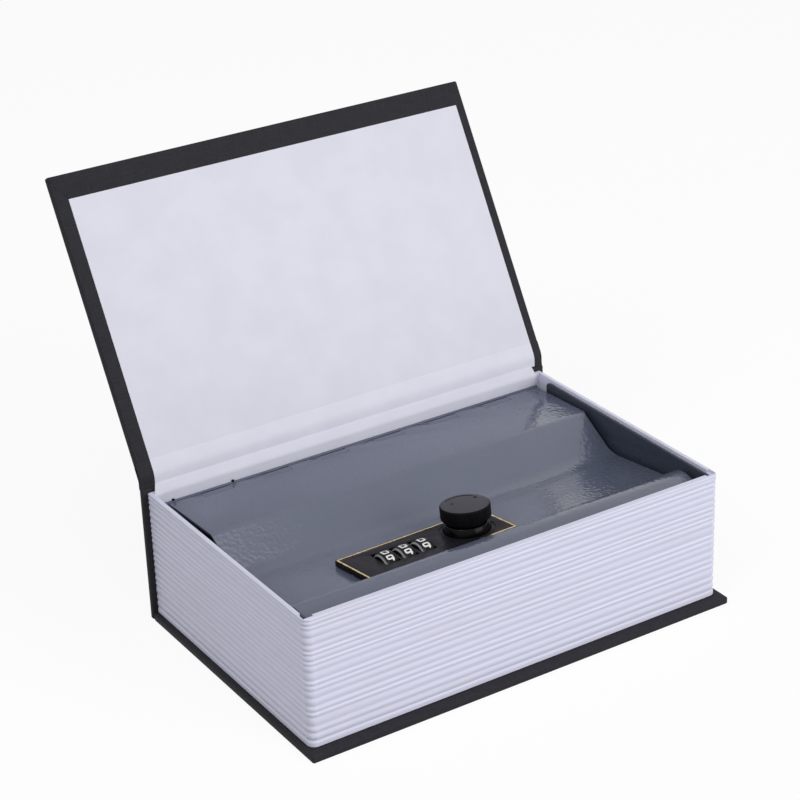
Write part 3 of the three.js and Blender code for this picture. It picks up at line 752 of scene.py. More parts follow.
@dataclass(frozen=True)
class Endpaper(Finish):
    """Endpaper: smooth white uncoated paper, pasted down, with faint cloudiness from the paste.

    Attributes:
        cloud: The size of the paste's clouds.
        fibre: The size of the paper's fibres.
        shade: The paper's slightly darker tone.
    """

    cloud: float = mm(14)
    fibre: float = mm(0.5)
    shade: str = "#e0e0ec"

    def draw(self, surface: Surface) -> None:
        """Draws the clouds as tone and the fibres as a fine relief.

        Args:
            surface: The material that is drawn.
        """
        place = surface.places["Object"]
        clouds = surface.grain(place, self.cloud, detail=3)
        fibres = surface.grain(place, self.fibre, detail=3)
        surface.vary_colour(clouds, self.shade)
        surface.relief((clouds, mm(0.02)), (fibres, mm(0.006)))


@dataclass(frozen=True)
class MouldedPages(Finish):
    """Moulded white polystyrene with page lines cut into its mould.

    Attributes:
        line: The spacing of the fine page lines. Real ones are about 0.3 mm, drawn coarser so that they show.
        run: How far a line goes before it fades.
        wave: The length, depth and height of the moulding's slow waves.
        shade: The darker tone painted along the lines, as their shade.
    """

    line: float = mm(0.8)
    run: float = mm(45)
    wave: tuple[float, float, float] = (mm(30), mm(30), mm(5))
    shade: str = "#dedeec"

    def draw(self, surface: Surface) -> None:
        """Draws lines that run round the block, and the gentle waviness of the moulding.

        Args:
            surface: The material that is drawn.
        """
        place = surface.places["Object"]
        lines = surface.grain(place, (self.run, self.run, self.line), detail=3)
        waves = surface.grain(place, self.wave, detail=1)
        # The lines are painted a little darker, as the shade in their grooves
        surface.vary_colour(lines, self.shade, 0.45, 0.75)
        surface.relief((waves, mm(0.12)), (lines, mm(0.04)))


@dataclass(frozen=True)
class HammeredEnamel(Finish):
    """Stoved hammer-finish enamel on sheet steel: a glossy skin drawn up into small dimples.

    Attributes:
        dimple: The size of a dimple.
        depth: How deep the dimples are.
        sag: The size of the sheet's own unevenness.
        light: The tone of the enamel's flow lines.
    """

    dimple: float = mm(1.5)
    depth: float = mm(0.08)
    sag: float = mm(30)
    light: str = "#767c8b"

    def draw(self, surface: Surface) -> None:
        """Draws dimples over the sheet's unevenness, with a little tone between them.

        Args:
            surface: The material that is drawn.
        """
        place = surface.places["Object"]
        sag = surface.grain(place, self.sag, detail=1)
        cells = {"Vector": place, "Scale": 1 / self.dimple, "Smoothness": 0.8, "Randomness": 1.0}
        dimples = add_node(surface.tree, "ShaderNodeTexVoronoi", {"feature": "SMOOTH_F1"}, cells)
        flow = surface.grain(place, self.dimple)
        both = {0: dimples.outputs["Distance"], 1: flow}
        height = add_node(surface.tree, "ShaderNodeMath", {"operation": "ADD"}, both)
        patches = surface.grain(place, self.sag, detail=3)
        surface.vary_colour(patches, self.light, 0.3, 0.8)
        surface.relief((sag, mm(0.1)), (height.outputs["Value"], self.depth))


@dataclass(frozen=True)
class RolledSteel(Finish):
    """Zinc-plated rolled steel: a grey metal with fine rolling lines.

    Attributes:
        line: The spacing of the rolling lines.
        run: How far a line goes before it fades.
        cloud: The size of the plating's clouds.
        dull: The tone of its duller patches.
    """

    line: float = mm(0.25)
    run: float = mm(18)
    cloud: float = mm(3)
    dull: str = "#8a8b90"

    def draw(self, surface: Surface) -> None:
        """Draws rolling lines along X and cloudy plating.

        Args:
            surface: The material that is drawn.
        """
        place = surface.places["Object"]
        lines = surface.grain(place, (self.run, self.line, self.line))
        clouds = surface.grain(place, self.cloud, detail=4)
        surface.vary_colour(clouds, self.dull)
        surface.vary_roughness(clouds, 0.08)
        surface.relief((lines, mm(0.01)))


@dataclass(frozen=True)
class MouldedPlastic(Finish):
    """Injection-moulded ABS with a spark-eroded texture.

    Attributes:
        texture: The size of the texture's grains.
        depth: How deep the texture is.
        patch: The size of the rubbed patches.
        worn: The tone of rubbed tops.
    """

    texture: float = mm(0.35)
    depth: float = mm(0.012)
    patch: float = mm(4)
    worn: str = "#343239"

    def draw(self, surface: Surface) -> None:
        """Draws the grain, and rubbed patches as a slightly lighter tone.

        Args:
            surface: The material that is drawn.
        """
        place = surface.places["Object"]
        grains = surface.grain(place, self.texture)
        patches = surface.grain(place, self.patch, detail=4)
        surface.vary_colour(patches, self.worn, 0.4, 0.75)
        surface.vary_roughness(patches, 0.05)
        surface.relief((grains, self.depth))


@dataclass(frozen=True)
class FoilGold(Finish):
    """Hot-stamped gold foil on plastic: a metal skin with slight flaws from the stamping.

    Attributes:
        flaw: The size of the foil's thin places.
        pale: Their tone.
    """

    flaw: float = mm(2.5)
    pale: str = "#fbecbe"

    def draw(self, surface: Surface) -> None:
        """Draws thin places in the foil and their roughness.

        Args:
            surface: The material that is drawn.
        """
        place = surface.places["Object"]
        flaws = surface.grain(place, self.flaw, detail=4)
        surface.vary_colour(flaws, self.pale, 0.4, 0.7)
        surface.vary_roughness(flaws, 0.1)


# Matt near-black with a fine weave and rubbed thread tops, all over the boards
CLOTH = BookCloth("linen_book_cloth", "#26252a", 0.75, "book_cloth", specular=0.2)
# A soft, cool white with faint clouds from the paste
PAPER = Endpaper("pasted_endpaper", "#e4e4f0", 0.6, "endpaper", specular=0.3)
# The same paper painted a little darker on the fold, as shade
SHADED_FOLD_PAPER = Endpaper("endpaper_fold_painted_shade", "#dcdce8", 0.6, "endpaper", specular=0.3, shade="#d8d8e5")
# Cool white plastic with a low sheen, lined like the edges of pages
PAGES = MouldedPages("moulded_white_polystyrene", "#e4e5f9", 0.42, "page_plastic", specular=0.35)
# Blue-grey gloss whose small dimples break up the lamps' reflections
ENAMEL = HammeredEnamel(
    "hammer_finish_enamel", "#60667a", 0.15, "lid_steel", specular=0.65, depth=mm(0.1), light="#646a7e"
)
# The same coat, duller, painted as the shade in the gaps behind the hinge
HINGE_SHADE = HammeredEnamel(
    "shaded_hinge_enamel", "#626675", 0.4, "box_steel", specular=0.3, light="#666a79"
)
# The lid's coat painted dark and duller inside the box, as shade where little light falls
SHADED_BOX_ENAMEL = HammeredEnamel("box_enamel_painted_shade", "#343a47", 0.4, "box_steel", specular=0.3, light="#383e4b")
# Dull grey metal with cloudy plating and fine rolling lines
ZINC = RolledSteel("zinc_plated_steel", "#a3a5aa", 0.34, "plated_steel", metallic=1.0)
# Black plastic with a fine satin grain on the lock's face
LOCK_ABS = MouldedPlastic("lock_plate_abs", "#1d1b20", 0.4, "lock_plastic", specular=0.1, worn="#222026")
# The same plastic, duller and painted darker as shade, on the plate's sides and in its windows
SHADED_PLATE_SIDE = MouldedPlastic(
    "lock_plate_side_painted_shade", "#0e0d0f", 0.5, "lock_plastic", specular=0.1, worn="#131214"
)
# Polished black with small soft reflections, behind the white digits
WHEEL_ABS = MouldedPlastic(
    "polished_black_abs", "#0a0a0c", 0.25, "wheel_plastic", specular=0.2, depth=mm(0.004), worn="#101013"
)
# A light grey ring beside each wheel, a painted highlight on its shoulder
SHOULDER_HIGHLIGHT = MouldedPlastic(
    "wheel_shoulder_painted_highlight", "#808086", 0.35, "wheel_plastic", depth=mm(0.004), worn="#98989e"
)
# Glossy deep black with sharp highlights round the knob's foot
COLLAR_ABS = MouldedPlastic(
    "polished_collar_abs", "#060608", 0.2, "knob_plastic", specular=0.1, depth=mm(0.002), worn="#08080a"
)
# Dark grey satin, painted lighter than the black sides as the light from above falls on it
LIT_KNOB_TOP = MouldedPlastic("knob_top_painted_light", "#3a373f", 0.5, "knob_plastic", specular=0.25, worn="#413e46")
# Matt black with a fine grain, on the knob's grip and its turning mark, and as painted shadow dots
KNOB_ABS = MouldedPlastic("knob_abs", "#09080a", 0.5, "knob_plastic", specular=0.08, worn="#0e0d10")
# Warm yellow metal with fine rolling lines, on the two sliding parts
BRASS = RolledSteel("rolled_brass", "#b08d4a", 0.32, "lock_brass", metallic=1.0, dull="#96773c")
# A bright pale gold line with slight flaws
FOIL = FoilGold("stamped_gold_foil", "#ecca80", 0.24, "gold_foil", metallic=1.0)
# Flat white paint with hardly any gloss
DIGIT_PAINT = MouldedPlastic(
    "white_digit_paint", "#f6f6f6", 0.5, "wheel_plastic", texture=mm(0.2), worn="#e8e8e8"
)


def finish_piece(
    piece: Piece, finish: Finish, body: Body | None, replaced: Sequence[str] = (), smooth: float = 32
) -> None:
    """Gives a piece its finish, its shading and the body that it rides on.

    Args:
        piece: The object, in place.
        finish: Its finish.
        body: The body that it rides on, or None where it bends between two.
        replaced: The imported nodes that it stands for.
        smooth: The angle, in degrees, below which an edge is shaded smooth.
    """
    only(piece)
    piece.data.materials.clear()
    piece.data.materials.append(finish.material())
    bpy.ops.object.shade_smooth_by_angle(angle=math.radians(smooth))
    if body is not None:
        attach(piece, body.value)
    if replaced:
        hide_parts(*replaced)
    LOG.info("%s: %d faces, %s", piece.name, len(piece.data.polygons), finish.name)


# Book case


@dataclass
class BookCase:
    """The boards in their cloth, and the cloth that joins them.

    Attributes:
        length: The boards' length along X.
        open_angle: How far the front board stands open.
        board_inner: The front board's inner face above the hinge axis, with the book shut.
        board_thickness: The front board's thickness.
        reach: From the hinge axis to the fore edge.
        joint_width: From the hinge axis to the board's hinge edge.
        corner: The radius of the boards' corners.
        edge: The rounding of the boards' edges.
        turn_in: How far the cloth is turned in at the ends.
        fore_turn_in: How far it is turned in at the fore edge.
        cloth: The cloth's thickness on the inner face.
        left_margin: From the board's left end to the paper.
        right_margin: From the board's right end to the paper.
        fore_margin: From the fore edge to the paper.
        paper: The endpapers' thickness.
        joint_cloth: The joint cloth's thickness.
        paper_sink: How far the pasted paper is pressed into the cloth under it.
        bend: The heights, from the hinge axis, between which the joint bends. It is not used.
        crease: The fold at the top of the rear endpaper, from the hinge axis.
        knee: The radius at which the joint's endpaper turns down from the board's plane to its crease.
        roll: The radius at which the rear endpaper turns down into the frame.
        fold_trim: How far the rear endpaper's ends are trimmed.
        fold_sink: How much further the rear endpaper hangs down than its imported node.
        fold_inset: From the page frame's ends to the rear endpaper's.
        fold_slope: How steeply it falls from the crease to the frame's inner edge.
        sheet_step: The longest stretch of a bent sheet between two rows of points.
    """

    length: float = mm(180)
    open_angle: float = math.radians(119.7)
    board_inner: float = mm(-1.75)
    board_thickness: float = mm(2.1)
    reach: float = mm(117.4)
    joint_width: float = mm(6.5)
    corner: float = mm(0.8)
    edge: float = mm(0.5)
    turn_in: float = mm(15)
    fore_turn_in: float = mm(16)
    cloth: float = mm(0.2)
    left_margin: float = mm(5.85)
    right_margin: float = mm(3.85)
    fore_margin: float = mm(9.5)
    paper: float = mm(0.3)
    joint_cloth: float = mm(0.5)
    paper_sink: float = mm(0.12)
    bend: Point = (mm(-0.4), mm(2.3))
    crease: Point = (mm(-0.7), mm(0.05))
    knee: float = mm(7)
    roll: float = mm(2.3)
    fold_trim: float = mm(1.9)
    fold_sink: float = mm(0.22)
    fold_inset: float = mm(1.75)
    fold_slope: float = 0.818
    sheet_step: float = mm(0.6)

    def __post_init__(self) -> None:
        """Works out the front board's place and that of the endpaper's crease."""
        self.place = hinge_place("cover_hinge", self.open_angle)
        self.half = self.length / 2
        self.hinge = Vector(joint("cover_hinge")["pos_m"])
        self.fold = (self.hinge.y + self.crease[0], self.hinge.z + self.crease[1])

    def build(self) -> None:
        """Makes every piece of the case."""
        self.flat_boards()
        self.front_board()
        self.turned_in_cloth()
        self.paste_down()
        self.joint_pieces()

    def rounded_board(self, name: str, low: Sequence[float], high: Sequence[float]) -> Piece:
        """Makes a cloth-wrapped board with rounded corners and edges.

        Args:
            name: The object's name.
            low: Its lowest corner.
            high: Its highest corner.

        Returns:
            The board, with a UV map for its weave.
        """
        board = new_block(name, low, high)
        bevel(board, self.corner, 5, across_level((low[2] + high[2]) / 2))
        soften(board, self.edge, angle=60, segments=4)
        lay_uv(board)
        return board

    def flat_boards(self) -> None:
        """Makes the back board, the spine board and the cloth that turns the corner between them."""
        low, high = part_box("back_board")
        back = self.rounded_board("back_board_in_cloth", low, high)
        finish_piece(back, CLOTH, Body.BASE, ["back_board"])
        spine_low, spine_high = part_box("spine_board")
        spine = self.rounded_board("spine_in_cloth", spine_low, spine_high)
        finish_piece(spine, CLOTH, Body.BASE, ["spine_board"])
        overlap, sink = mm(1.6), mm(0.12)
        start = (low.x + self.edge, high.y - overlap, sink)
        end = (high.x - self.edge, spine_low.y + overlap, high.z - sink)
        corner = new_block("spine_corner_cloth", start, end)
        lay_uv(corner)
        finish_piece(corner, CLOTH, Body.BASE)

    def front_board(self) -> None:
        """Makes the front board, open as in the photograph."""
        low = (-self.half, -self.reach, self.board_inner)
        high = (self.half, -self.joint_width, self.board_inner + self.board_thickness)
        board = self.rounded_board("front_board_in_cloth", low, high)
        settle(board, self.place)
        finish_piece(board, CLOTH, Body.COVER, ["front_board"])

    def strip(self, name: str, low: Sequence[float], high: Sequence[float], level: float) -> Piece:
        """Makes one turned-in strip of cloth on the inner face.

        Args:
            name: The object's name.
            low: Its lowest x and y.
            high: Its highest x and y.
            level: How many layers of cloth lie under it.

        Returns:
            The strip, flat and with square ends.
        """
        add = bpy.ops.mesh.primitive_grid_add
        piece = new_primitive(name, add, x_subdivisions=2, y_subdivisions=14, size=1)
        top = self.board_inner - level * self.cloth
        for vertex in piece.data.vertices:
            x = low[0] + (vertex.co.x + 0.5) * (high[0] - low[0])
            y = low[1] + (vertex.co.y + 0.5) * (high[1] - low[1])
            vertex.co = (x, y, top)
        return piece

    def lay_strip(self, piece: Piece) -> None:
        """Gives a strip of turned-in cloth its thickness and soft edges, and lays it on the open board.

        Args:
            piece: The flat strip.
        """
        solidify(piece, self.cloth, UP)
        soften(piece, self.cloth / 3, angle=60)
        lay_uv(piece)
        settle(piece, self.place)
        finish_piece(piece, CLOTH, Body.COVER)

    def turned_in_cloth(self) -> None:
        """Makes the cloth that is turned in round the front board, mitred at its corners."""
        # The mitre's cut isn't straight: its distance from the board's end grows with this power
        bow = 1.7
        rim = mm(0.6)
        fore, inner = -self.reach + rim, -self.joint_width
        for side, word in ((-1, "left"), (1, "right")):
            x = sorted((side * (self.half - rim), side * (self.half - self.turn_in)))
            self.lay_strip(self.strip(f"turned_in_cloth_{word}", (x[0], fore), (x[1], inner), 0))
        end = (self.half, fore + self.fore_turn_in)
        piece = self.strip("turned_in_cloth_fore_edge", (-self.half, fore), end, 0.6)
        for vertex in piece.data.vertices:
            side = -1 if vertex.co.x < 0 else 1
            margin = self.left_margin if side < 0 else self.right_margin
            share = (vertex.co.y + self.reach) / self.fore_margin
            if abs(vertex.co.x) > self.half / 2:
                vertex.co.x = side * (self.half - rim - margin * share**bow)
        self.lay_strip(piece)

    def paste_down(self) -> None:
        """Makes the white paper pasted inside the front board."""
        top = self.board_inner - self.paper_sink
        low = (-self.half + self.left_margin, -self.reach + self.fore_margin, top - self.paper)
        high = (self.half - self.right_margin, -self.joint_width, top)
        paper = new_block("front_paste_down_paper", low, high)
        soften(paper, mm(0.1))
        settle(paper, self.place)
        finish_piece(paper, PAPER, Body.COVER, ["front_paste_down"])

    def on_open_board(self, reach: float, height: float) -> Point:
        """Gives the y and z of a point of the open board, from its reach and height on the shut one."""
        point = self.place @ Vector((0, -reach, height))
        return point.y, point.z

    def finish_bending(self, piece: Piece, finish: Finish, replaced: Sequence[str] = ()) -> None:
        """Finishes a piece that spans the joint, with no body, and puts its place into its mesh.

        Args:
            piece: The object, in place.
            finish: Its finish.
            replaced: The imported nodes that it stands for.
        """
        finish_piece(piece, finish, None, replaced, smooth=60)
        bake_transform(piece)

    def joint_pieces(self) -> None:
        """Makes the cloth and the endpaper at the joint, between the spine and the front board."""
        self.outer_joint_cloth()
        inner, outer = self.half - self.turn_in, self.half - mm(0.12)
        self.joint_turn_in("joint_turned_in_cloth_left", -outer, -inner)
        self.joint_turn_in("joint_turned_in_cloth_right", inner, outer)
        self.joint_paper()
        self.rear_paper()

    def outer_joint_cloth(self) -> None:
        """Makes the cloth outside the joint, from the spine to the front board."""
        _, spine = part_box("spine_board")
        outer = self.board_inner + self.board_thickness
        # The cloth lies this far inside the boards' faces, laps over their edges and stands up from the spine
        inset, lap, rise, radius = mm(0.05), mm(0.6), mm(2.6), mm(4)
        path = [
            (spine.y - inset, spine.z - lap),
            (spine.y - inset, spine.z + rise),
            self.on_open_board(self.joint_width + lap, outer - mm(0.06)),
        ]
        points = rounded_path(path, [radius], self.sheet_step)
        cloth = new_sheet("front_joint_cloth_strip", points, -self.half, self.half)
        thicken_sheet(cloth, self.joint_cloth, Vector((0, 1, 0)))
        lay_uv(cloth)
        self.finish_bending(cloth, CLOTH, ["front_joint_cloth"])

    def front_path(self, depth: float, foot: Sequence[Point]) -> list[Point]:
        """Gives the path of a sheet on the joint's inner side.

        Args:
            depth: How far the sheet lies behind the endpaper's face.
            foot: The corners below the crease.

        Returns:
            The rounded path, from the board downwards.
        """
        lap, crease_radius = mm(2), mm(1)
        surface = self.board_inner - self.paper_sink - self.paper - mm(0.02) + depth
        crease = (self.fold[0] + depth + self.paper_sink, self.fold[1])
        start = self.on_open_board(self.joint_width + lap, surface)
        edge = self.on_open_board(self.joint_width, surface)
        fall = (start[1] - edge[1]) / (start[0] - edge[0])
        knee = (crease[0], edge[1] + (crease[0] - edge[0]) * fall)
        return rounded_path([start, knee, crease, *foot], [self.knee, crease_radius], self.sheet_step)

    def joint_turn_in(self, name: str, x0: float, x1: float) -> None:
        """Makes the cloth that is turned in at one end of the joint.

        Args:
            name: The object's name.
            x0: Its left end.
            x1: Its right end.
        """
        thickness = mm(0.9)
        _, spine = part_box("spine_board")
        _, frame_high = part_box("page_frame")
        foot = [(frame_high.y + thickness, spine.z - mm(0.1))]
        cloth = new_sheet(name, self.front_path(self.cloth, foot), x0, x1)
        thicken_sheet(cloth, thickness, Vector((0, -1, 0)))
        lay_uv(cloth)
        self.finish_bending(cloth, CLOTH)

    def joint_paper(self) -> None:
        """Makes the endpaper's stretch from the board down to its crease."""
        lean, drop = mm(0.2), mm(1)
        foot = [(self.fold[0] + lean, self.hinge.z - drop)]
        left, right = -self.half + self.left_margin, self.half - self.right_margin
        paper = new_sheet("joint_endpaper_sheet", self.front_path(0, foot), left, right)
        thicken_sheet(paper, self.paper, Vector((0, -1, 0)))
        self.finish_bending(paper, PAPER, ["joint_endpaper"])

    def rear_paper(self) -> None:
        """Makes the endpaper from the crease over the frame's rear wall and down inside it."""
        low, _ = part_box("rear_endpaper")
        frame_low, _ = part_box("page_frame")
        half = -frame_low.x - self.fold_inset
        corner = (low.y, self.fold[1] - (self.fold[0] - low.y) * self.fold_slope)
        foot = (low.y, low.z - self.fold_sink)
        path = rounded_path([self.fold, corner, foot], [self.roll], self.sheet_step)
        paper = new_sheet("rear_endpaper_fold", path, -half, half)
        # Its left end is trimmed on a slant, and its right end evenly
        for vertex in paper.data.vertices:
            share = (vertex.co.y - low.y) / (self.fold[0] - low.y)
            vertex.co.x += self.fold_trim * share if vertex.co.x < 0 else -self.fold_trim
        thicken_sheet(paper, self.paper, Vector((0, -1, 0.3)))
        # The fold is painted a little darker than the board's paper, as shade
        finish_piece(paper, SHADED_FOLD_PAPER, Body.BASE, ["rear_endpaper"], smooth=60)


# Page frame


@dataclass
class PageFrame:
    """The moulded ring of page edges round the box.

    Attributes:
        side_wall: The thickness of its two end walls.
        front_wall: The thickness of its fore-edge wall.
        rear_wall: The thickness of its wall beside the spine.
        corner: The radius of its fore-edge corners.
        rib_depth: How far its ribs stand out.
        lip: The rounding of its upper rim.
        foot: The height at which it stands on the back board.
        joint: How far the foot is drawn in, and how high, where it meets the back board.
        relief: The length, width and depth of the recess at each inner fore-edge corner.
        rib_shares: How high each rib stands, from the bottom up, as shares of the height that they fill.
        outline_shares: Where a rib's outline turns: the share of its height, then of its depth.
        drift: How far the ribs waver up and down.
        swell: The share of the ribs' depth by which they waver in and out.
        wave: How many wavers of each kind there are in a metre, along the block and then upwards.
    """

    side_wall: float = mm(1.6)
    front_wall: float = mm(2.5)
    rear_wall: float = mm(1.8)
    corner: float = mm(3)
    rib_depth: float = mm(0.3)
    lip: float = mm(0.35)
    foot: float = mm(2.62)
    joint: Point = (mm(0.8), mm(0.28))
    relief: tuple[float, float, float] = (mm(3), mm(1), mm(1.3))
    rib_shares: tuple[float, ...] = (
        *(0.9, 1.2, 1.1, 1.4, 0.8, 1.0, 1.2, 1.1, 0.9, 0.8, 1.3),
        *(1.0, 0.7, 0.9, 0.7, 1.0, 1.1, 1.1, 0.7, 0.8, 0.4),
    )
    outline_shares: tuple[Point, ...] = (
        *((0, 0), (0.1, 0.24), (0.24, 0.66), (0.38, 0.93)),
        *((0.5, 1), (0.62, 0.93), (0.76, 0.66), (0.9, 0.24)),
    )
    drift: float = mm(0.22)
    swell: float = 0.3
    wave: tuple[Point, Point] = ((22, 220), (35, 260))

    def build(self) -> None:
        """Makes the ring by extruding its outline upwards, rib by rib, and cutting out the inside."""
        low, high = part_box("page_frame")
        low.z = self.foot
        self.low, self.high = low, high
        middle = (0, (low.y + high.y) / 2, low.z)
        add = bpy.ops.mesh.primitive_plane_add
        self.ring = ring = new_primitive("page_edge_frame", add, size=1, location=middle)
        ring.scale = (high.x - low.x, high.y - low.y, 1)
        settle(ring)
        select_parts(ring, Part.VERTEX, lambda vertex: vertex.co.y < 0)
        bpy.ops.mesh.bevel(offset=self.corner, segments=10, affect="VERTICES")
        leave_edit()
        self.split_long_edges()
        self.inset_now = 0.0
        self.level = low.z
        select_parts(ring, Part.FACE)
        self.foot_joint()
        room, total = high.z - self.level, sum(self.rib_shares)
        # The last share is the smooth band under the rim
        for index, share in enumerate(self.rib_shares[:-1]):
            self.rib(room * share / total, 0.5 if index == 0 else 0)
        self.rim()
        leave_edit()
        recalculate(ring)
        self.wobble()
        self.hollow()
        finish_piece(ring, PAGES, Body.BASE, ["page_frame"], smooth=50)

    def foot_joint(self) -> None:
        """Draws the foot in, which leaves a dark line between the pages and the back board."""
        depth, height = self.joint
        self.move_ring(depth)
        self.raise_ring(height, depth)
        self.raise_ring(0, 0)

    def rib(self, height: float, full_until: float) -> None:
        """Extrudes one page rib upwards.

        Args:
            height: The rib's height.
            full_until: The share of its height up to which it keeps its full width from below.
        """
        before = 0.0
        for rise, swell in [*self.outline_shares[1:], (1, 0)]:
            kept = 1 if rise <= full_until else swell
            self.raise_ring(height * (rise - before), self.rib_depth * (1 - kept))
            before = rise

    def split_long_edges(self) -> None:
        """Divides the outline's long straight edges, so that the ribs can waver along them."""
        long_edge = mm(20)
        select_parts(self.ring, Part.EDGE, lambda edge: edge.calc_length() > long_edge)
        bpy.ops.mesh.subdivide(number_cuts=15)
        leave_edit()

    def move_ring(self, inset: float) -> None:
        """Draws the selected outline in or out by scaling it about the middle of its rear side.

        Args:
            inset: How far the outline now lies inside the block's outer faces.
        """
        long, deep = self.high.x - self.low.x, self.high.y - self.low.y
        now, then = ((long - 2 * drawn, deep - drawn) for drawn in (self.inset_now, inset))
        value = (then[0] / now[0], then[1] / now[1], 1)
        bpy.ops.transform.resize(value=value, center_override=(0, self.high.y, self.level))
        self.inset_now = inset

    def raise_ring(self, rise: float, inset: float) -> None:
        """Extrudes the outline upwards, and draws it in or out at its new height.

        Args:
            rise: How far it goes up.
            inset: How far it then lies inside the block's outer faces.
        """
        bpy.ops.mesh.extrude_region_move(TRANSFORM_OT_translate={"value": (0, 0, rise)})
        self.level += rise
        self.move_ring(inset)

    def rim(self) -> None:
        """Extrudes the smooth band above the ribs, with its small rounded lip."""
        steps, ease = 4, mm(0.12)
        straight = self.high.z - self.lip - self.level - 2 * ease
        for rise, inset in ((ease, self.rib_depth / 3), (ease, 0), (straight, 0)):
            self.raise_ring(rise, inset)
        turns = [step / steps * math.pi / 2 for step in range(steps + 1)]
        for before, turn in zip(turns, turns[1:]):
            self.raise_ring(self.lip * (math.sin(turn) - math.sin(before)), self.lip * (1 - math.cos(turn)))

    def wobble(self) -> None:
        """Moves the ribs a little, as the pages of a real block waver."""
        # The foot and the rim stay straight, and the wavering grows to its full strength over a short height
        still_foot, still_rim, growth = mm(0.5), mm(1.2), mm(2)
        (slow, slow_up), (quick, quick_up) = self.wave
        # The two patterns of noise are taken this far apart
        apart = 7
        for vertex in self.ring.data.vertices:
            point = vertex.co
            inner = min(point.z - self.low.z - still_foot, self.high.z - still_rim - point.z)
            if inner <= 0:
                continue
            strength = min(inner / growth, 1)
            drift = noise.noise(Vector((point.x * slow, point.y * slow, point.z * slow_up)))
            swell = noise.noise(Vector((point.x * quick + apart, point.y * quick, point.z * quick_up)))
            vertex.co.z += drift * self.drift * strength
            if point.y < self.high.y - NEAR:
                outward = Vector((point.x / self.high.x, min(point.y, 0) / abs(self.low.y), 0))
                vertex.co -= outward * (swell * 0.5 + 0.5) * (self.rib_depth * self.swell) * strength

    def hollow(self) -> None:
        """Cuts out the inside, and the small relief where the mould's cores meet at the front corners."""
        spare = mm(5)
        inner_x, front = self.high.x - self.side_wall, self.low.y + self.front_wall
        rear, roof = self.high.y - self.rear_wall, self.high.z + spare
        cut(self.ring, new_block("frame_core", (-inner_x, front, self.low.z - spare), (inner_x, rear, roof)))
        length, width, depth = self.relief
        for side in (-1, 1):
            x = sorted((side * (inner_x + width), side * (inner_x - length)))
            low = (x[0], front - width, self.high.z - depth)
            cut(self.ring, new_block("corner_relief", low, (x[1], front + length, roof)))


# Steel box


@dataclass
class SteelBox:
    """The folded steel tray, its end walls, and what is fixed to it.

    Attributes:
        edge: The rounding of the sheet's cut edges.
        rear_wall: How far the faces of the wall behind the lid's hinge reach from the tray's rear.
    """

    edge: float = mm(0.2)
    rear_wall: float = mm(1.6)

    def build(self) -> None:
        """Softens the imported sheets' edges and enamels them."""
        for node in ("box_tray", "box_end_left", "box_end_right"):
            piece = softened_copy(node, self.edge, f"{node}_sheet")
            # The box's sheets are painted darker as shade, and the tray's rear wall keeps the lid's enamel
            finish_piece(piece, SHADED_BOX_ENAMEL, Body.BASE, [node])
            if node == "box_tray":
                second_finish(piece, ENAMEL, self.behind_hinge)
        strike = softened_copy("strike_bracket", self.edge, "strike_bracket_sheet")
        finish_piece(strike, ZINC, Body.BASE, ["strike_bracket"])

    def behind_hinge(self, face: bpy.types.MeshPolygon) -> bool:
        """Says whether a face of the tray is on its rear wall, which keeps the lid's enamel; the rest is
        painted shade.
        """
        _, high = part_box("box_tray")
        return face.center.y > high.y - self.rear_wall


# Lid and its hinge


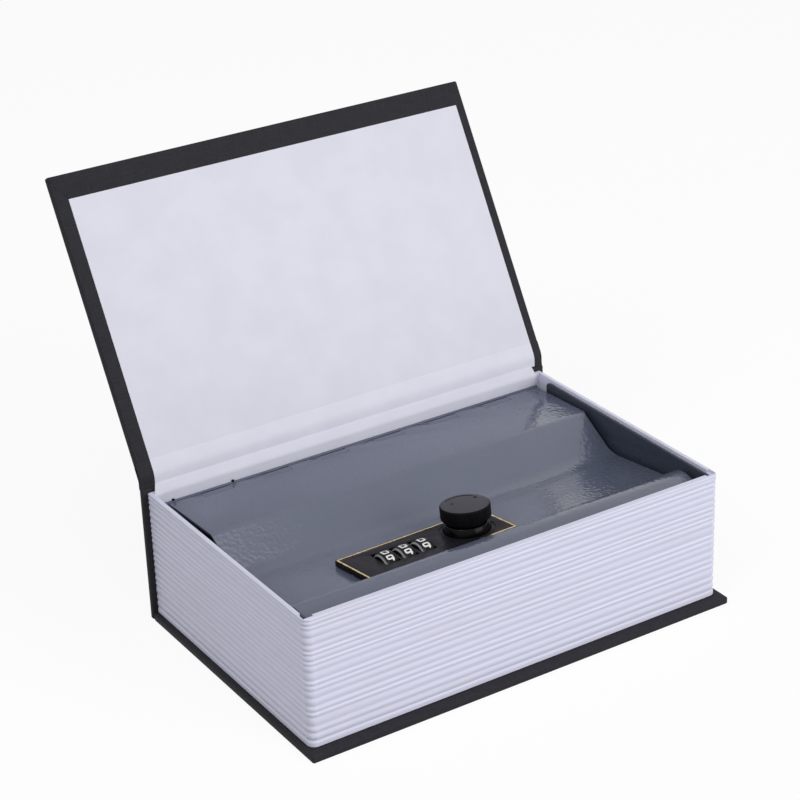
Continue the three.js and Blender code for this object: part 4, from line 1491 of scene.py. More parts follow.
@dataclass
class Lid:
    """The lid, bent from one sheet, and the hinge that carries it.

    Attributes:
        sheet: The sheet's thickness.
        knuckle: The hinge knuckles' outer radius.
        half_width: Half the flat part's width.
        left_trim: How much shorter the flat part and the slope are at their left end, where a dark gap shows.
        trough_inset: How much narrower the trough is at each end.
        flat_reach: From the hinge axis to the first bend.
        slope: How steeply the sheet falls to the trough.
        floor_drop: From the flat part down to the trough's lowest line.
        floor_rise: How steeply the trough's floor rises again.
        floor_reach: From the hinge axis to the trough's front bend.
        front_steps: The run forwards and the rise of the front strip's step, crown, fall and flange.
        bend_radii: The radius of each bend, from the hinge forwards.
        knuckle_count: How many knuckles the hinge has, the lid's first.
        knuckle_length: Their pitch.
        gap: The gap between two knuckles.
        lip: How far the sheet runs over the hinge axis at the lid's own knuckles.
        notch: The length and height of the dark dots of painted shadow on the guard behind the hinge.
        shadow_dotted: The numbers of the knuckles that have a dot of painted shadow behind their left end.
        pin: The pin's radius.
        play: The play between the pin and the knuckles' bores.
        wrap: How much thicker the box's knuckles are than the lid's.
        guard_rear: From the wall's outer face to the rear of the painted shade stretches and shadow dots.
        opening: Half the length and half the depth of the cut-out for the lock.
    """

    sheet: float = mm(1)
    knuckle: float = mm(2)
    half_width: float = mm(83.45)
    left_trim: float = mm(1.8)
    trough_inset: float = mm(0.5)
    flat_reach: float = mm(30.6)
    slope: float = math.radians(33.5)
    floor_drop: float = mm(11.25)
    floor_rise: float = math.radians(4.35)
    floor_reach: float = mm(85.6)
    front_steps: tuple[Point, ...] = (
        *((mm(1.1), mm(4.2)), (mm(4.9), mm(1.1))),
        *((mm(6.6), mm(-1.9)), (mm(3), mm(-7))),
    )
    bend_radii: tuple[float, ...] = (mm(4), mm(12), mm(1.2), mm(1.7), mm(8), mm(3))
    knuckle_count: int = 13
    knuckle_length: float = mm(12.5)
    gap: float = mm(0.06)
    lip: float = mm(1.6)
    notch: Point = (mm(0.9), mm(0.8))
    shadow_dotted: tuple[int, ...] = (0, 2)
    pin: float = mm(0.75)
    play: float = mm(0.25)
    wrap: float = mm(0.28)
    guard_rear: float = mm(0.3)
    opening: Point = (mm(28.3), mm(9.6))

    def __post_init__(self) -> None:
        """Works out the lid's place from its hinge, and half the hinge's length."""
        ajar = math.radians(-joint("lid_hinge")["range_deg"][0])
        self.place = hinge_place("lid_hinge", ajar)
        self.axis = Vector(joint("lid_hinge")["pos_m"])
        self.half_hinge = self.knuckle_count * self.knuckle_length / 2

    def build(self, lock_matrix: Matrix) -> None:
        """Makes the lid and its hinge.

        Args:
            lock_matrix: The lock's place, to cut its opening.
        """
        self.bent_sheet(lock_matrix)
        self.box_leaf()
        self.guard()
        self.hinge_pin()

    def corners(self) -> list[Point]:
        """Gives the sharp corners of the lid's upper face, from the hinge forwards.

        Returns:
            Their y and z about the hinge axis, with the lid shut.
        """
        valley_reach = self.flat_reach + self.floor_drop / math.tan(self.slope)
        valley = self.knuckle - self.floor_drop
        reach = self.floor_reach
        level = valley + (reach - valley_reach) * math.tan(self.floor_rise)
        rear = [(self.lip, self.knuckle), (-self.flat_reach, self.knuckle), (-valley_reach, valley)]
        front = [(-reach, level)]
        for run, rise in self.front_steps:
            reach, level = reach + run, level + rise
            front.append((-reach, level))
        return rear + front

    def round_bends(self, sheet: Piece, corners: list[Point]) -> None:
        """Rounds each bend by its own radius.

        Args:
            sheet: The sheet.
            corners: The path's corners.
        """
        for index, radius in enumerate(self.bend_radii, start=1):
            before, here, after = (Vector(corners[index + step]) for step in (-1, 0, 1))
            turn = abs((here - before).angle_signed(after - here))
            offset, steps = radius * math.tan(turn / 2), max(4, math.ceil(math.degrees(turn) / 4))
            bevel(sheet, offset, steps, lambda edge: all((v.co.yz - here).length < NEAR for v in edge.verts))

    def bent_sheet(self, lock_matrix: Matrix) -> None:
        """Makes the lid's sheet with its rolled knuckles and its cut-outs.

        Args:
            lock_matrix: The lock's place, to cut its opening.
        """
        corners = self.corners()
        sheet = new_sheet("bent_steel_lid", corners, -self.half_width, self.half_width)
        self.round_bends(sheet, corners)
        solidify(sheet, self.sheet, UP)
        spare = mm(4)
        self.trim_ends(sheet, corners, spare)
        roof, clearance = self.knuckle + spare, mm(0.12)
        for index in range(1, self.knuckle_count, 2):
            x0, x1 = self.knuckle_span(index)
            low = (x0 - self.gap / 2, -self.knuckle - clearance, -self.knuckle)
            cut(sheet, new_block("knuckle_cutter", low, (x1 + self.gap / 2, self.knuckle, roof)))
        half_x, half_y = self.opening
        opening = new_block("lock_cutter", (-half_x, -half_y, -spare), (half_x, half_y, spare))
        settle(opening, self.place.inverted() @ lock_matrix)
        cut(sheet, opening)
        soften(sheet, mm(0.08))
        roll = self.rolled_knuckle()
        knuckles = [self.knuckle_copy(roll, index) for index in range(0, self.knuckle_count, 2)]
        lid = join("bent_steel_lid", sheet, *knuckles)
        bpy.data.objects.remove(roll)
        settle(lid, self.place)
        finish_piece(lid, ENAMEL, Body.LID, ["lid"], smooth=24)

    def trim_ends(self, sheet: Piece, corners: list[Point], spare: float) -> None:
        """Makes the trough narrower at both ends, and the flat part and the slope shorter on the left.

        Args:
            sheet: The bent sheet.
            corners: The path's corners.
            spare: How far the cutters stand out of what they cut.
        """
        roof, valley = self.knuckle + spare, corners[2]
        for side in (-1, 1):
            x = sorted((side * (self.half_width - self.trough_inset), side * (self.half_width + spare)))
            low = (x[0], corners[-1][0] - spare, corners[-1][1] - spare)
            cut(sheet, new_block("end_cutter", low, (x[1], -self.flat_reach, roof)))
        low = (-self.half_width - spare, valley[0], valley[1] - spare)
        cut(sheet, new_block("left_end_cutter", low, (-self.half_width + self.left_trim, spare, roof)))

    def knuckle_span(self, index: int) -> Point:
        """Gives where a knuckle starts and ends along X."""
        start = (index - self.knuckle_count / 2) * self.knuckle_length
        return start + self.gap / 2, start + self.knuckle_length - self.gap / 2

    def bore(self, x0: float, x1: float) -> Piece:
        """Makes the cutter for a knuckle's bore, a little longer than the knuckle."""
        spare = mm(1)
        return new_round("bore", self.pin + self.play, x0 - spare, x1 + spare, 24, Axis.X)

    def rolled_knuckle(self) -> Piece:
        """Makes the one rolled knuckle that all are copies of, with its bore, about the hinge axis.

        Returns:
            The knuckle, at the middle.
        """
        half = (self.knuckle_length - self.gap) / 2
        roll = new_round("rolled_knuckle", self.knuckle, -half, half, 36, Axis.X)
        cut(roll, self.bore(-half, half))
        soften(roll, mm(0.15))
        return roll

    def knuckle_copy(self, roll: Piece, index: int) -> Piece:
        """Copies the middle knuckle to the place that has this number from the left."""
        x0, x1 = self.knuckle_span(index)
        return settle(copied(roll, f"rolled_knuckle_{index}"), Matrix.Translation(((x0 + x1) / 2, 0, 0)))

    def box_leaf(self) -> None:
        """Makes the box's hinge leaf with its own knuckles."""
        low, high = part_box("box_hinge_leaf")
        top = self.axis.z - self.knuckle - mm(0.5)
        front = high.y - self.sheet
        parts = [new_block("box_hinge_leaf_sheet", (low.x, front, low.z), (high.x, high.y, top))]
        roll = self.rolled_knuckle()
        for index in range(1, self.knuckle_count, 2):
            x0, x1 = self.knuckle_span(index)
            parts.append(new_block("web", (x0, front, top - self.sheet), (x1, high.y, self.axis.z)))
            for piece in (self.knuckle_copy(roll, index), self.flattened_roll(x0, x1)):
                parts.append(settle(piece, Matrix.Translation(self.axis)))
        bpy.data.objects.remove(roll)
        leaf = join("box_hinge_leaf_sheet", *parts)
        finish_piece(leaf, ENAMEL, Body.BASE, ["box_hinge_leaf"])

    def hinge_pin(self) -> None:
        """Makes the pin that both rows of knuckles turn on."""
        pin = new_round("hinge_pin_wire", self.pin, -self.half_hinge, self.half_hinge, 24, Axis.X)
        soften(pin, mm(0.12))
        settle(pin, Matrix.Translation(self.axis))
        finish_piece(pin, ZINC, Body.BASE, ["hinge_pin"])

    def flattened_roll(self, x0: float, x1: float) -> Piece:
        """Makes the outer wrap of a knuckle of the box, level with the lid's sheet on top.

        Args:
            x0: Its left end.
            x1: Its right end.

        Returns:
            The wrap, about the hinge axis at the origin.
        """
        wrap = new_round("knuckle_wrap", self.knuckle + self.wrap, x0, x1, 48, Axis.X)
        level, spare, reach = self.knuckle - mm(0.05), mm(1), mm(5)
        cut(wrap, new_block("level_cutter", (x0 - spare, -reach, level), (x1 + spare, reach, reach)))
        cut(wrap, self.bore(x0, x1))
        return wrap

    def guard(self) -> None:
        """Makes the strip that closes the gap behind the hinge, with stretches and dots of painted shade."""
        _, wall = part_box("box_tray")
        top = self.axis.z + self.knuckle - mm(0.08)
        # The strip stays clear of the lid's edge, which swings by when the lid opens
        front, rear = self.axis.y + self.knuckle + mm(0.3), wall.y - self.guard_rear
        thickness, shade = mm(0.6), mm(0.02)
        low = (-self.half_hinge, front, top - thickness)
        guard = new_block("hinge_guard", low, (self.half_hinge, wall.y - self.sheet, top))
        soften(guard, mm(0.08))
        finish_piece(guard, ENAMEL, Body.BASE)
        # Stretches painted in a duller coat, as the shade in the gaps behind the hinge
        stretches = []
        for index in range(1, self.knuckle_count, 2):
            x0, x1 = self.knuckle_span(index)
            low = (x0, front + mm(0.15), top - thickness / 2)
            stretches.append(new_block("stretch", low, (x1, rear, top + shade)))
        finish_piece(join("hinge_painted_shade_stretches", *stretches), HINGE_SHADE, Body.BASE)
        # Dark dots painted as the shadow where the gaps between knuckles show
        length, height = self.notch
        notches = []
        for index in self.shadow_dotted:
            x0 = self.knuckle_span(index)[0] + length + mm(0.6)
            low = (x0, rear - mm(0.55), top - mm(0.05))
            notches.append(new_block("notch", low, (x0 + length, rear, top + height)))
        finish_piece(join("hinge_painted_shadow_dots", *notches), KNOB_ABS, Body.BASE)


# Lock


# Each digit's strokes, as shares of its width and height, drawn with square shoulders
DIGIT_STROKE_SHARES: dict[int, list[list[Point]]] = {
    0: [[(0.5, 0), (1, 0), (1, 1), (0, 1), (0, 0), (0.5, 0)]],
    1: [[(0.25, 0.8), (0.55, 1), (0.55, 0)]],
    2: [[(0, 1), (1, 1), (1, 0.55), (0, 0), (1, 0)]],
    3: [[(0, 1), (1, 1), (0.5, 0.55), (1, 0.4), (1, 0), (0, 0)]],
    4: [[(0.75, 0), (0.75, 1), (0, 0.35), (1, 0.35)]],
    5: [[(1, 1), (0, 1), (0, 0.55), (1, 0.55), (1, 0), (0, 0)]],
    6: [[(1, 1), (0, 0.75), (0, 0), (1, 0), (1, 0.5), (0, 0.5)]],
    7: [[(0, 1), (1, 1), (0.4, 0)]],
    8: [[(0, 0), (1, 0), (1, 1), (0, 1), (0, 0)], [(0, 0.52), (1, 0.52)]],
    9: [[(1, 0.4), (0, 0.4), (0, 1), (1, 1), (1, 0.2), (0.75, 0)]],
}


@dataclass
class WheelLock:
    """The lock: its plate, number wheels, knob and hidden works.

    Attributes:
        plate_length: The plate's length along X.
        plate_depth: The plate's depth.
        plate_bottom: The plate's lower face above the trough floor.
        plate_top: The plate's upper face above the trough floor.
        wheel_radius: The number wheels' radius.
        plate_turn: How far the plate sits turned on the trough, as in the photograph.
        plate_corner: The radius of its corners, and of the gold line's.
        plate_edge: The rounding of its upper edges.
        border_inset: From the plate's edge to the gold line.
        border_width: The gold line's width.
        border_proud: How far the line stands out.
        wheel_width: The wheels' visible width.
        wheel_shift: How far their visible part lies right of their middles.
        wheel_shoulder: The widths of the black chamfer and of the grey painted highlight on the wheels' left
            side.
        wheel_places: The wheels' middles along the plate.
        wheel_axis: The wheels' axis above the trough floor.
        wheel_rest: How far the wheels rest turned to the rear, in radians.
        window_half: Half the windows' length and depth.
        window_corner: The radius of the windows' corners.
        digit_width: The digits' width, along their strokes' middles.
        digit_height: Their height.
        stroke: Half the strokes' width.
        knob_offset: The knob's distance from the plate's middle.
        knob_radius: The radius of the knob's cap.
        knob_height: The knob's top above the plate.
        cap_height: The cap's height.
        neck_radius: The radius of the neck under the cap.
        flutes: How many grip flutes the cap has.
        flute_depth: How deep they are.
        spindle_hole: The radius of the hole for the knob's spindle.
        groove_radius: The radius of the ring groove in the plate.
        groove: Half the groove's width, and its depth.
        collar_radius: The collar's radius at its foot.
        collar_height: The collar's height.
    """

    plate_length: float = mm(63.4)
    plate_depth: float = mm(23.4)
    plate_bottom: float = mm(0.3)
    plate_top: float = mm(2.3)
    plate_turn: float = math.radians(1.4)
    plate_corner: float = mm(0.6)
    plate_edge: float = mm(0.3)
    border_inset: float = mm(0.45)
    border_width: float = mm(0.6)
    border_proud: float = mm(0.08)
    wheel_radius: float = mm(6.5)
    wheel_width: float = mm(5.2)
    wheel_shift: float = mm(0.3)
    wheel_shoulder: Point = (mm(0.45), mm(0.55))
    wheel_places: tuple[float, ...] = (mm(-17.7), mm(-10.1), mm(-2.5))
    wheel_axis: float = mm(-2.25)
    wheel_rest: float = math.radians(3.5)
    window_half: Point = (mm(3), mm(5.77))
    window_corner: float = mm(0.5)
    digit_width: float = mm(2.1)
    digit_height: float = mm(2.4)
    stroke: float = mm(0.34)
    knob_offset: float = mm(17.2)
    knob_radius: float = mm(9.2)
    knob_height: float = mm(10)
    cap_height: float = mm(5.1)
    neck_radius: float = mm(7)
    flutes: int = 60
    flute_depth: float = mm(0.2)
    spindle_hole: float = mm(2.5)
    groove_radius: float = mm(9.9)
    groove: Point = (mm(0.35), mm(0.3))
    collar_radius: float = mm(9.05)
    collar_height: float = mm(3.5)

    def __post_init__(self) -> None:
        """Works out the lock's place from the knob's joint, and the knob's place on the lock."""
        self.place = lock_place(self.knob_offset, self.plate_top)
        self.up = (self.place.to_3x3() @ UP).normalized()
        self.at_knob = Matrix.Translation((self.knob_offset, 0, 0))

    def build(self) -> None:
        """Makes every piece of the lock."""
        self.plate()
        self.border()
        self.number_wheels()
        self.knob()
        self.collar()
        self.hidden_works()

    def plate(self) -> None:
        """Makes the black plate with its windows, the knob's hole and the ring round it."""
        half_x, half_y = self.plate_length / 2, self.plate_depth / 2
        low = (-half_x, -half_y, self.plate_bottom)
        plate = new_block("lock_face_plate", low, (half_x, half_y, self.plate_top))
        middle = (self.plate_bottom + self.plate_top) / 2
        bevel(plate, self.plate_corner, 4, across_level(middle))
        bevel(plate, self.plate_edge, 3, at_level(self.plate_top))
        settle(plate, Matrix.Rotation(self.plate_turn, 4, "Z"))
        self.cut_windows(plate)
        self.cut_knob_ring(plate)
        soften(plate, mm(0.12), angle=60)
        settle(plate, self.place)
        finish_piece(plate, LOCK_ABS, Body.LID, ["lock_plate"])
        # The plate's sides and window walls are painted darker, as shade
        second_finish(plate, SHADED_PLATE_SIDE, lambda face: face.normal.dot(self.up) < 0.75)

    def cut_windows(self, plate: Piece) -> None:
        """Cuts the wheels' windows, and the hollow behind them that the wheels turn in.

        Args:
            plate: The plate, on the trough floor.
        """
        half_x, half_y = self.window_half
        above = mm(5)
        window = new_block("window", (-half_x, -half_y, 0), (half_x, half_y, above))
        bevel(window, self.window_corner, 4, across_level(above / 2))
        for number, x in enumerate(self.wheel_places, start=1):
            move = Matrix.Translation((x + self.wheel_shift, 0, 0))
            cut(plate, settle(copied(window, f"window_{number}"), move))
        bpy.data.objects.remove(window)
        # The hollow reaches further on the right, where the last wheel's hub is
        left, right, roof = mm(3.7), mm(4.6), mm(1.5)
        low = (self.wheel_places[0] - left, -self.wheel_radius, 0)
        cut(plate, new_block("relief", low, (self.wheel_places[2] + right, self.wheel_radius, roof)))

    def cut_knob_ring(self, plate: Piece) -> None:
        """Cuts the ring groove round the knob, and the hole for its spindle.

        Args:
            plate: The plate, on the trough floor.
        """
        width, depth = self.groove
        above, spare = mm(5), mm(1)
        ring = new_round("ring", self.groove_radius + width, self.plate_top - depth, above, 96)
        cut(ring, new_round("ring_core", self.groove_radius - width, -spare, above + spare, 96))
        hole = new_round("hole", self.spindle_hole, -spare, above, 32)
        cut(plate, settle(ring, self.at_knob), settle(hole, self.at_knob))

    def border(self) -> None:
        """Makes the thin gold line that runs round the plate's rim."""
        sink = mm(0.05)
        half_x = self.plate_length / 2 - self.border_inset
        half_y = self.plate_depth / 2 - self.border_inset
        middle = (0, 0, self.plate_top - sink)
        line = new_primitive("gold_border_line", bpy.ops.mesh.primitive_plane_add, size=2, location=middle)
        line.scale = (half_x, half_y, 1)
        settle(line)
        select_parts(line, Part.VERTEX)
        bpy.ops.mesh.bevel(offset=self.plate_corner, segments=5, affect="VERTICES")
        leave_edit()
        select_parts(line, Part.FACE)
        bpy.ops.mesh.inset(thickness=self.border_width, use_boundary=True)
        bpy.ops.mesh.delete(type="FACE")
        leave_edit()
        modify(line, "SOLIDIFY", thickness=self.border_proud + sink, offset=1)
        recalculate(line)
        soften(line, mm(0.04), angle=60)
        settle(line, self.place @ Matrix.Rotation(self.plate_turn, 4, "Z"))
        finish_piece(line, FOIL, Body.LID, ["plate_border"])

    def number_wheels(self) -> None:
        """Makes one drum and one ring of digits, and copies them to the three wheels' places."""
        drum = self.drum()
        digits = join("number_wheel_digits", *[self.digit(value) for value in DIGIT_STROKE_SHARES])
        recalculate(digits)
        rest = Matrix.Rotation(-self.wheel_rest, 4, "X")
        right = self.place.to_3x3() @ Vector((1, 0, 0))
        for number, (x, body) in enumerate(zip(self.wheel_places, WHEEL_BODIES), start=1):
            place = self.place @ Matrix.Translation((x + self.wheel_shift, 0, self.wheel_axis)) @ rest
            wheel = settle(copied(drum, f"number_wheel_{number}_drum"), place)
            finish_piece(wheel, WHEEL_ABS, body, [f"number_wheel_{number}"], smooth=26)
            # The grey chamfer, a painted highlight, leans to the left, but less than the wheel's side
            second_finish(wheel, SHOULDER_HIGHLIGHT, lambda face: -0.9 < face.normal.dot(right) < -0.62)
            painted = settle(copied(digits, f"number_wheel_{number}_digits"), place)
            finish_piece(painted, DIGIT_PAINT, body)
        bpy.data.objects.remove(drum)
        bpy.data.objects.remove(digits)

    def drum(self) -> Piece:
        """Makes the wheel that all three are copies of, with its shoulder and its finger notches.

        Returns:
            The wheel, about its axis at the origin.
        """
        half = self.wheel_width / 2
        drum = new_round("number_wheel_drum", self.wheel_radius, -half, half, 80, Axis.X)
        black, grey = self.wheel_shoulder
        # How far the black and the grey chamfer run along the axis, as shares of their widths
        black_fall, grey_fall = 1.3, 0.9
        select_parts(drum, Part.FACE, lambda face: face.normal.x < -0.9)
        bpy.ops.mesh.inset(thickness=black, depth=0)
        bpy.ops.mesh.inset(thickness=grey, depth=0)
        leave_edit()
        for vertex in drum.data.vertices:
            radius = vertex.co.yz.length
            if vertex.co.x < 0 and radius > self.wheel_radius - NEAR:
                vertex.co.x += black * black_fall + grey * grey_fall
            elif vertex.co.x < 0 and radius > self.wheel_radius - black - grey + NEAR:
                vertex.co.x += grey * grey_fall
        bevel(drum, mm(0.3), 3, at_level(half, 0))
        hub_radius, hub_left, hub_right = mm(3.2), mm(0.6), mm(1.2)
        hub = new_round("hub", hub_radius, -half - hub_left, half + hub_right, 40, Axis.X)
        drum = join("number_wheel_drum", drum, hub)
        notch_radius, notch_depth, spare = mm(0.55), mm(0.7), mm(1)
        notch = new_round("finger_notch", notch_radius, half - notch_depth, half + spare, 12, Axis.X)
        settle(notch, Matrix.Translation((0, 0, self.wheel_radius)))
        count = len(DIGIT_STROKE_SHARES)
        for turn in range(count):
            angle = math.radians(360 / count * (turn + 0.5))
            cut(drum, settle(copied(notch, f"finger_notch_{turn}"), Matrix.Rotation(angle, 4, "X")))
        bpy.data.objects.remove(notch)
        return drum

    def digit(self, value: int) -> Piece:
        """Makes one digit as painted strokes wrapped on the wheel. Zero is on top and nine comes before it.

        Args:
            value: The digit.

        Returns:
            The digit, about the wheel's axis at the origin.
        """
        # The strokes are pressed flat to this share of their thickness
        flat = 0.16
        name, strokes = f"digit_{value}", []
        for points in DIGIT_STROKE_SHARES[value]:
            path = [
                ((across - 0.5) * self.digit_width, (up - 0.5) * self.digit_height)
                for across, up in self.softened_points(points)
            ]
            strokes.append(new_stroke(name, path, self.stroke, 1))
        digit = join(name, *strokes) if len(strokes) > 1 else strokes[0]
        count = len(DIGIT_STROKE_SHARES)
        middle = -math.radians(360 / count * (count - value)) if value else 0.0
        for vertex in digit.data.vertices:
            angle = middle + vertex.co.y / self.wheel_radius
            radius = self.wheel_radius + vertex.co.z * flat
            vertex.co = (vertex.co.x, math.sin(angle) * radius, math.cos(angle) * radius)
        return digit

    def softened_points(self, points: list[Point]) -> list[Point]:
        """Cuts the corners of a stroke, and adds points so that it can bend with the wheel.

        Args:
            points: The stroke's corners, as shares.

        Returns:
            More points along the same stroke.
        """
        corner, step = 0.1, 0.2
        spots = [Vector(point) for point in points]
        dense = [spots[0]]
        for before, here, after in zip(spots, spots[1:], spots[2:]):
            for other in (before, after):
                gap = other - here
                dense.append(here + gap.normalized() * min(corner, gap.length / 3))
        dense.append(spots[-1])
        filled = [dense[0]]
        for start, end in zip(dense, dense[1:]):
            count = max(1, round((end - start).length / step))
            filled += [start.lerp(end, index / count) for index in range(1, count + 1)]
        return [(spot.x, spot.y) for spot in filled]

    def knob(self) -> None:
        """Makes the round knob: a fluted cap on a plain neck, with a turning mark on its top."""
        low, top = self.plate_top + mm(0.5), self.plate_top + self.knob_height
        cap_low = top - self.cap_height
        cap = new_round("turning_knob_cap", self.knob_radius, cap_low, top, self.flutes * 4)
        bevel(cap, mm(0.65), 4, at_level(top))
        bevel(cap, mm(0.3), 2, at_level(cap_low))
        self.cut_flutes(cap)
        neck = new_round("neck", self.neck_radius, low, cap_low + mm(0.5), 96)
        knob = settle(join("turning_knob", cap, neck), self.place @ self.at_knob)
        finish_piece(knob, KNOB_ABS, Body.KNOB, ["knob"], smooth=28)
        # The knob's top is painted lighter than its sides, as the light from above
        second_finish(knob, LIT_KNOB_TOP, lambda face: face.normal.dot(self.up) > 0.98)
        marks = settle(self.turn_marks(top), self.place @ self.at_knob)
        finish_piece(marks, KNOB_ABS, Body.KNOB)

    def cut_flutes(self, cap: Piece) -> None:
        """Draws in every fourth line of the cap's side, which leaves grip ridges between them.

        Args:
            cap: The knob's cap, about the Z axis.
        """
        pitch = 2 * math.pi / self.flutes
        side = self.knob_radius - mm(0.05)

        def in_flute(vertex: bmesh.types.BMVert) -> bool:
            """Says whether a vertex of the side lies at the bottom of a flute."""
            place = (math.atan2(vertex.co.y, vertex.co.x) / pitch) % 1
            return vertex.co.xy.length >= side and min(place, 1 - place) < 0.1

        select_parts(cap, Part.VERTEX, in_flute)
        factor = (self.knob_radius - self.flute_depth) / self.knob_radius
        bpy.ops.transform.resize(value=(factor, factor, 1), center_override=(0, 0, 0))
        leave_edit()

    def turn_marks(self, level: float) -> Piece:
        """Makes the raised turning mark: an arc, an arrow head that leads it, and a dot behind it.

        Args:
            level: The height of the knob's top face.

        Returns:
            The mark, about the knob's axis.
        """
        rise, line_radius = mm(0.08), mm(0.26)
        start, end, steps = math.radians(33), math.radians(122), 24

        def spot(radius: float, angle: float) -> Point:
            """Gives a point of the knob's top by its distance and its angle from the middle."""
            return radius * math.cos(angle), radius * math.sin(angle)

        path = [spot(mm(7.6), start + (end - start) * step / steps) for step in range(steps + 1)]
        line = new_stroke("arc", path, line_radius, 2)
        line.scale.z = rise / line_radius
        settle(line, Matrix.Translation((0, 0, level)))
        add = bpy.ops.mesh.primitive_cylinder_add
        head = new_primitive("head", add, vertices=3, radius=mm(1), depth=rise * 2, location=(0, 0, 0))
        ahead = math.radians(20)
        place = Matrix.Translation((*spot(mm(6.4), ahead), level))
        settle(head, place @ Matrix.Rotation(ahead - math.pi, 4, "Z"))
        dot = new_round("dot", mm(0.55), level - rise, level + rise, 20)
        settle(dot, Matrix.Translation((*spot(mm(4.6), math.radians(142)), 0)))
        return join("knob_turn_mark", line, head, dot)

    def collar(self) -> None:
        """Makes the polished collar that the knob turns in."""
        bottom, top = self.plate_top, self.plate_top + self.collar_height
        taper, clearance, spare = mm(0.95), mm(0.3), mm(1)
        collar = new_round("polished_knob_collar", self.collar_radius, bottom, top, 96)
        narrowing = (self.collar_radius - taper) / self.collar_radius
        select_parts(collar, Part.FACE, lambda face: face.normal.z > 0.9)
        bpy.ops.transform.resize(value=(narrowing, narrowing, 1), center_override=(0, 0, top))
        leave_edit()
        bevel(collar, mm(0.7), 5, at_level(top))
        bevel(collar, mm(0.6), 5, at_level(bottom))
        cut(collar, new_round("bore", self.neck_radius + clearance, bottom - spare, top + spare, 96))
        settle(collar, self.place @ self.at_knob)
        finish_piece(collar, COLLAR_ABS, Body.LID, ["knob_collar"])

    def hidden_works(self) -> None:
        """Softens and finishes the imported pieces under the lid."""
        screws = [f"{piece}_screw_{side}" for piece in ("plate", "cover") for side in ("left", "right")]
        for finish, body, nodes in (
            (LOCK_ABS, Body.LID, ["lock_housing"]),
            (ZINC, Body.LID, ["housing_cover", "wheel_axle", *screws]),
            (ZINC, Body.KNOB, ["latch_cam", "spindle", "cam_screw"]),
            (BRASS, Body.LOCKING_BAR, ["locking_bar"]),
            (BRASS, Body.RESET_LEVER, ["reset_lever"]),
        ):
            for node in nodes:
                piece = softened_copy(node, mm(0.15), f"{node}_finished")
                finish_piece(piece, finish, body, [node])
        spring = frame["nodes"]["detent_spring"]
        spring.data.materials.clear()
        spring.data.materials.append(ZINC.material())
        LOG.info("%s: packed node, %s", spring.name, ZINC.name)


# Studio


@dataclass(frozen=True)
class PhotoCamera:
    """The photograph's camera, found by fitting the part's straight edges to it.

    Attributes:
        focal_px: Its focal length in pixels of the 800 px wide frame.
        frame_px: The frame's width.
        sensor: The sensor's width in millimetres, as Blender counts it.
        azimuth: Its turn about Z.
        elevation: Its height angle.
        roll: Its tilt.
        distance: From the target.
        target: The point that the middle of the frame shows.
    """

    focal_px: float = 2373.54
    frame_px: float = 800
    sensor: float = 36
    azimuth: float = -0.55607
    elevation: float = 0.44839
    roll: float = -0.03778
    distance: float = 0.84167
    target: tuple[float, float, float] = (-0.01292, 0.00085, 0.0906)

    def build(self) -> None:
        """Adds the camera and makes it the scene's."""
        lens = bpy.data.cameras.new("photo_camera")
        lens.sensor_width = self.sensor
        lens.lens = self.focal_px * self.sensor / self.frame_px
        lens.clip_start = 0.05
        lens.clip_end = 20
        camera = put_in_scene("photo_camera", lens)
        across, up = math.cos(self.azimuth), math.cos(self.elevation)
        back = Vector((math.sin(self.azimuth) * up, -across * up, math.sin(self.elevation)))
        level = Vector((across, math.sin(self.azimuth), 0))
        upright = back.cross(level)
        right = level * math.cos(self.roll) + upright * math.sin(self.roll)
        top = upright * math.cos(self.roll) - level * math.sin(self.roll)
        turn = Matrix((right, top, back)).transposed().to_4x4()
        camera.matrix_world = Matrix.Translation(Vector(self.target) + back * self.distance) @ turn
        bpy.context.scene.camera = camera


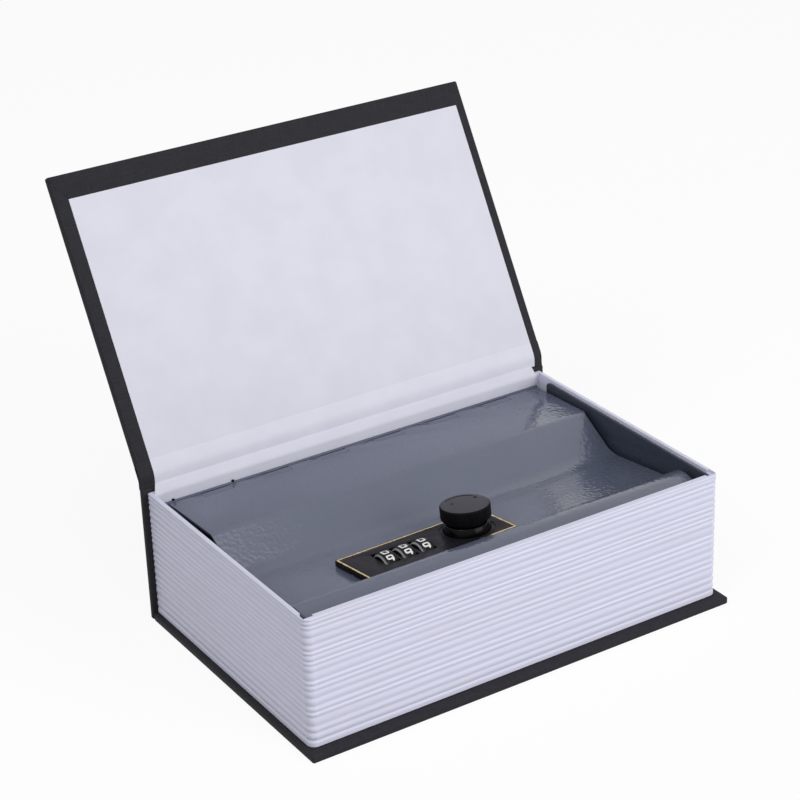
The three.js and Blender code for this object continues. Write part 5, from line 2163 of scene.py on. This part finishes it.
@dataclass(frozen=True)
class Studio:
    """A pale floor, soft lamps and a white surround.

    The surround and the floor are white to the camera and in reflections, and dimmer as lights, so that pale
    surfaces keep the colours that are written for them.

    Attributes:
        floor_size: The floor's width.
        floor_colour: The floor's colour.
        floor_shade: The tone of its faint clouds.
        floor_white: The share of plain white in what the camera and mirrored rays see of it.
        surround: The brightness of the light that comes from all round.
        lamps: Each lamp's name, place, size and power in watts.
    """

    floor_size: float = 6.0
    floor_colour: str = "#c8c8cc"
    floor_shade: str = "#c2c2c7"
    floor_white: float = 0.9
    surround: float = 0.25
    lamps: tuple[tuple[str, tuple[float, float, float], float, float], ...] = (
        ("key_soft_box", (0.77, -1.45, 0.65), 1.2, 17.2),
        ("overhead_soft_box", (-0.45, -0.3, 1.4), 1.1, 5.4),
        ("left_fill", (-1.15, -0.4, 1.1), 0.7, 3.6),
    )

    def build(self) -> None:
        """Adds the floor, the lamps and the surround."""
        self.floor()
        self.light()
        self.surroundings()
        bpy.context.scene.view_settings.view_transform = "Standard"

    def floor(self) -> None:
        """Adds a plain floor just under the book. To the camera it is a little brighter, as cut-out white."""
        below = (0, 0, -mm(0.02))
        floor = new_primitive("floor", bpy.ops.mesh.primitive_plane_add, size=self.floor_size, location=below)
        settle(floor)
        material = bpy.data.materials.new("pale_floor")
        tree = empty_tree(material)
        rgba = {"data_type": "RGBA"}
        place = add_node(tree, "ShaderNodeTexCoord").outputs["Object"]
        cloud = add_node(tree, "ShaderNodeTexNoise", inputs={"Vector": place, "Scale": 3.0, "Detail": 2.0})
        tones = {0: cloud.outputs["Fac"], 6: linear(self.floor_colour), 7: linear(self.floor_shade)}
        tone = add_node(tree, "ShaderNodeMix", rgba, tones).outputs[2]
        seen = self.seen_or_mirrored(tree)
        paler = add_node(tree, "ShaderNodeMix", rgba, {0: seen, 6: tone, 7: linear("#ffffff")}).outputs[2]
        surface = add_node(tree, "ShaderNodeBsdfDiffuse", inputs={"Color": paler, "Roughness": 0.5})
        white = add_node(tree, "ShaderNodeEmission", inputs={"Color": (1, 1, 1, 1), "Strength": 1.0})
        share = add_node(tree, "ShaderNodeMath", {"operation": "MULTIPLY"}, {0: seen, 1: self.floor_white})
        parts = {0: share.outputs["Value"], 1: surface.outputs["BSDF"], 2: white.outputs["Emission"]}
        mixed = add_node(tree, "ShaderNodeMixShader", inputs=parts)
        add_node(tree, "ShaderNodeOutputMaterial", inputs={"Surface": mixed.outputs["Shader"]})
        floor.data.materials.append(material)

    def light(self) -> None:
        """Adds the soft boxes, each turned towards the book."""
        aim = Vector((0, 0, 0.05))
        for name, place, size, power in self.lamps:
            lamp = bpy.data.lights.new(name, "AREA")
            lamp.shape = "SQUARE"
            lamp.size = size
            lamp.energy = power
            holder = put_in_scene(name, lamp)
            holder.location = place
            holder.rotation_euler = (aim - Vector(place)).to_track_quat("-Z", "Y").to_euler()

    def seen_or_mirrored(self, tree: Tree) -> Socket:
        """Gives one for a ray of the camera, of a mirror or through a clear surface, and zero for others.

        Args:
            tree: The node tree of the floor or the world.

        Returns:
            The socket with that value.
        """
        path = add_node(tree, "ShaderNodeLightPath").outputs
        seen = path["Is Camera Ray"]
        for other in ("Is Glossy Ray", "Is Transmission Ray"):
            rays = {0: seen, 1: path[other]}
            seen = add_node(tree, "ShaderNodeMath", {"operation": "MAXIMUM"}, rays).outputs["Value"]
        return seen

    def surroundings(self) -> None:
        """Makes the world an even light, and white where it is seen or mirrored."""
        world = bpy.data.worlds.new("studio_surround")
        bpy.context.scene.world = world
        tree = empty_tree(world)
        span = {"Value": self.seen_or_mirrored(tree), "To Min": self.surround, "To Max": 1.0}
        strength = add_node(tree, "ShaderNodeMapRange", inputs=span).outputs["Result"]
        light = {"Color": (1, 1, 1, 1), "Strength": strength}
        surround = add_node(tree, "ShaderNodeBackground", inputs=light)
        add_node(tree, "ShaderNodeOutputWorld", inputs={"Surface": surround.outputs["Background"]})


def write_sizes() -> None:
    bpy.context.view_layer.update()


def main() -> None:
    """Builds every sub-assembly in order and reports each piece."""
    logging.basicConfig(level=logging.INFO, format="%(message)s")
    PhotoCamera().build()
    lock = WheelLock()
    BookCase().build()
    PageFrame().build()
    SteelBox().build()
    Lid().build(lock.place)
    lock.build()
    Studio().build()
    write_sizes()


if __name__ == "__main__":
    main()
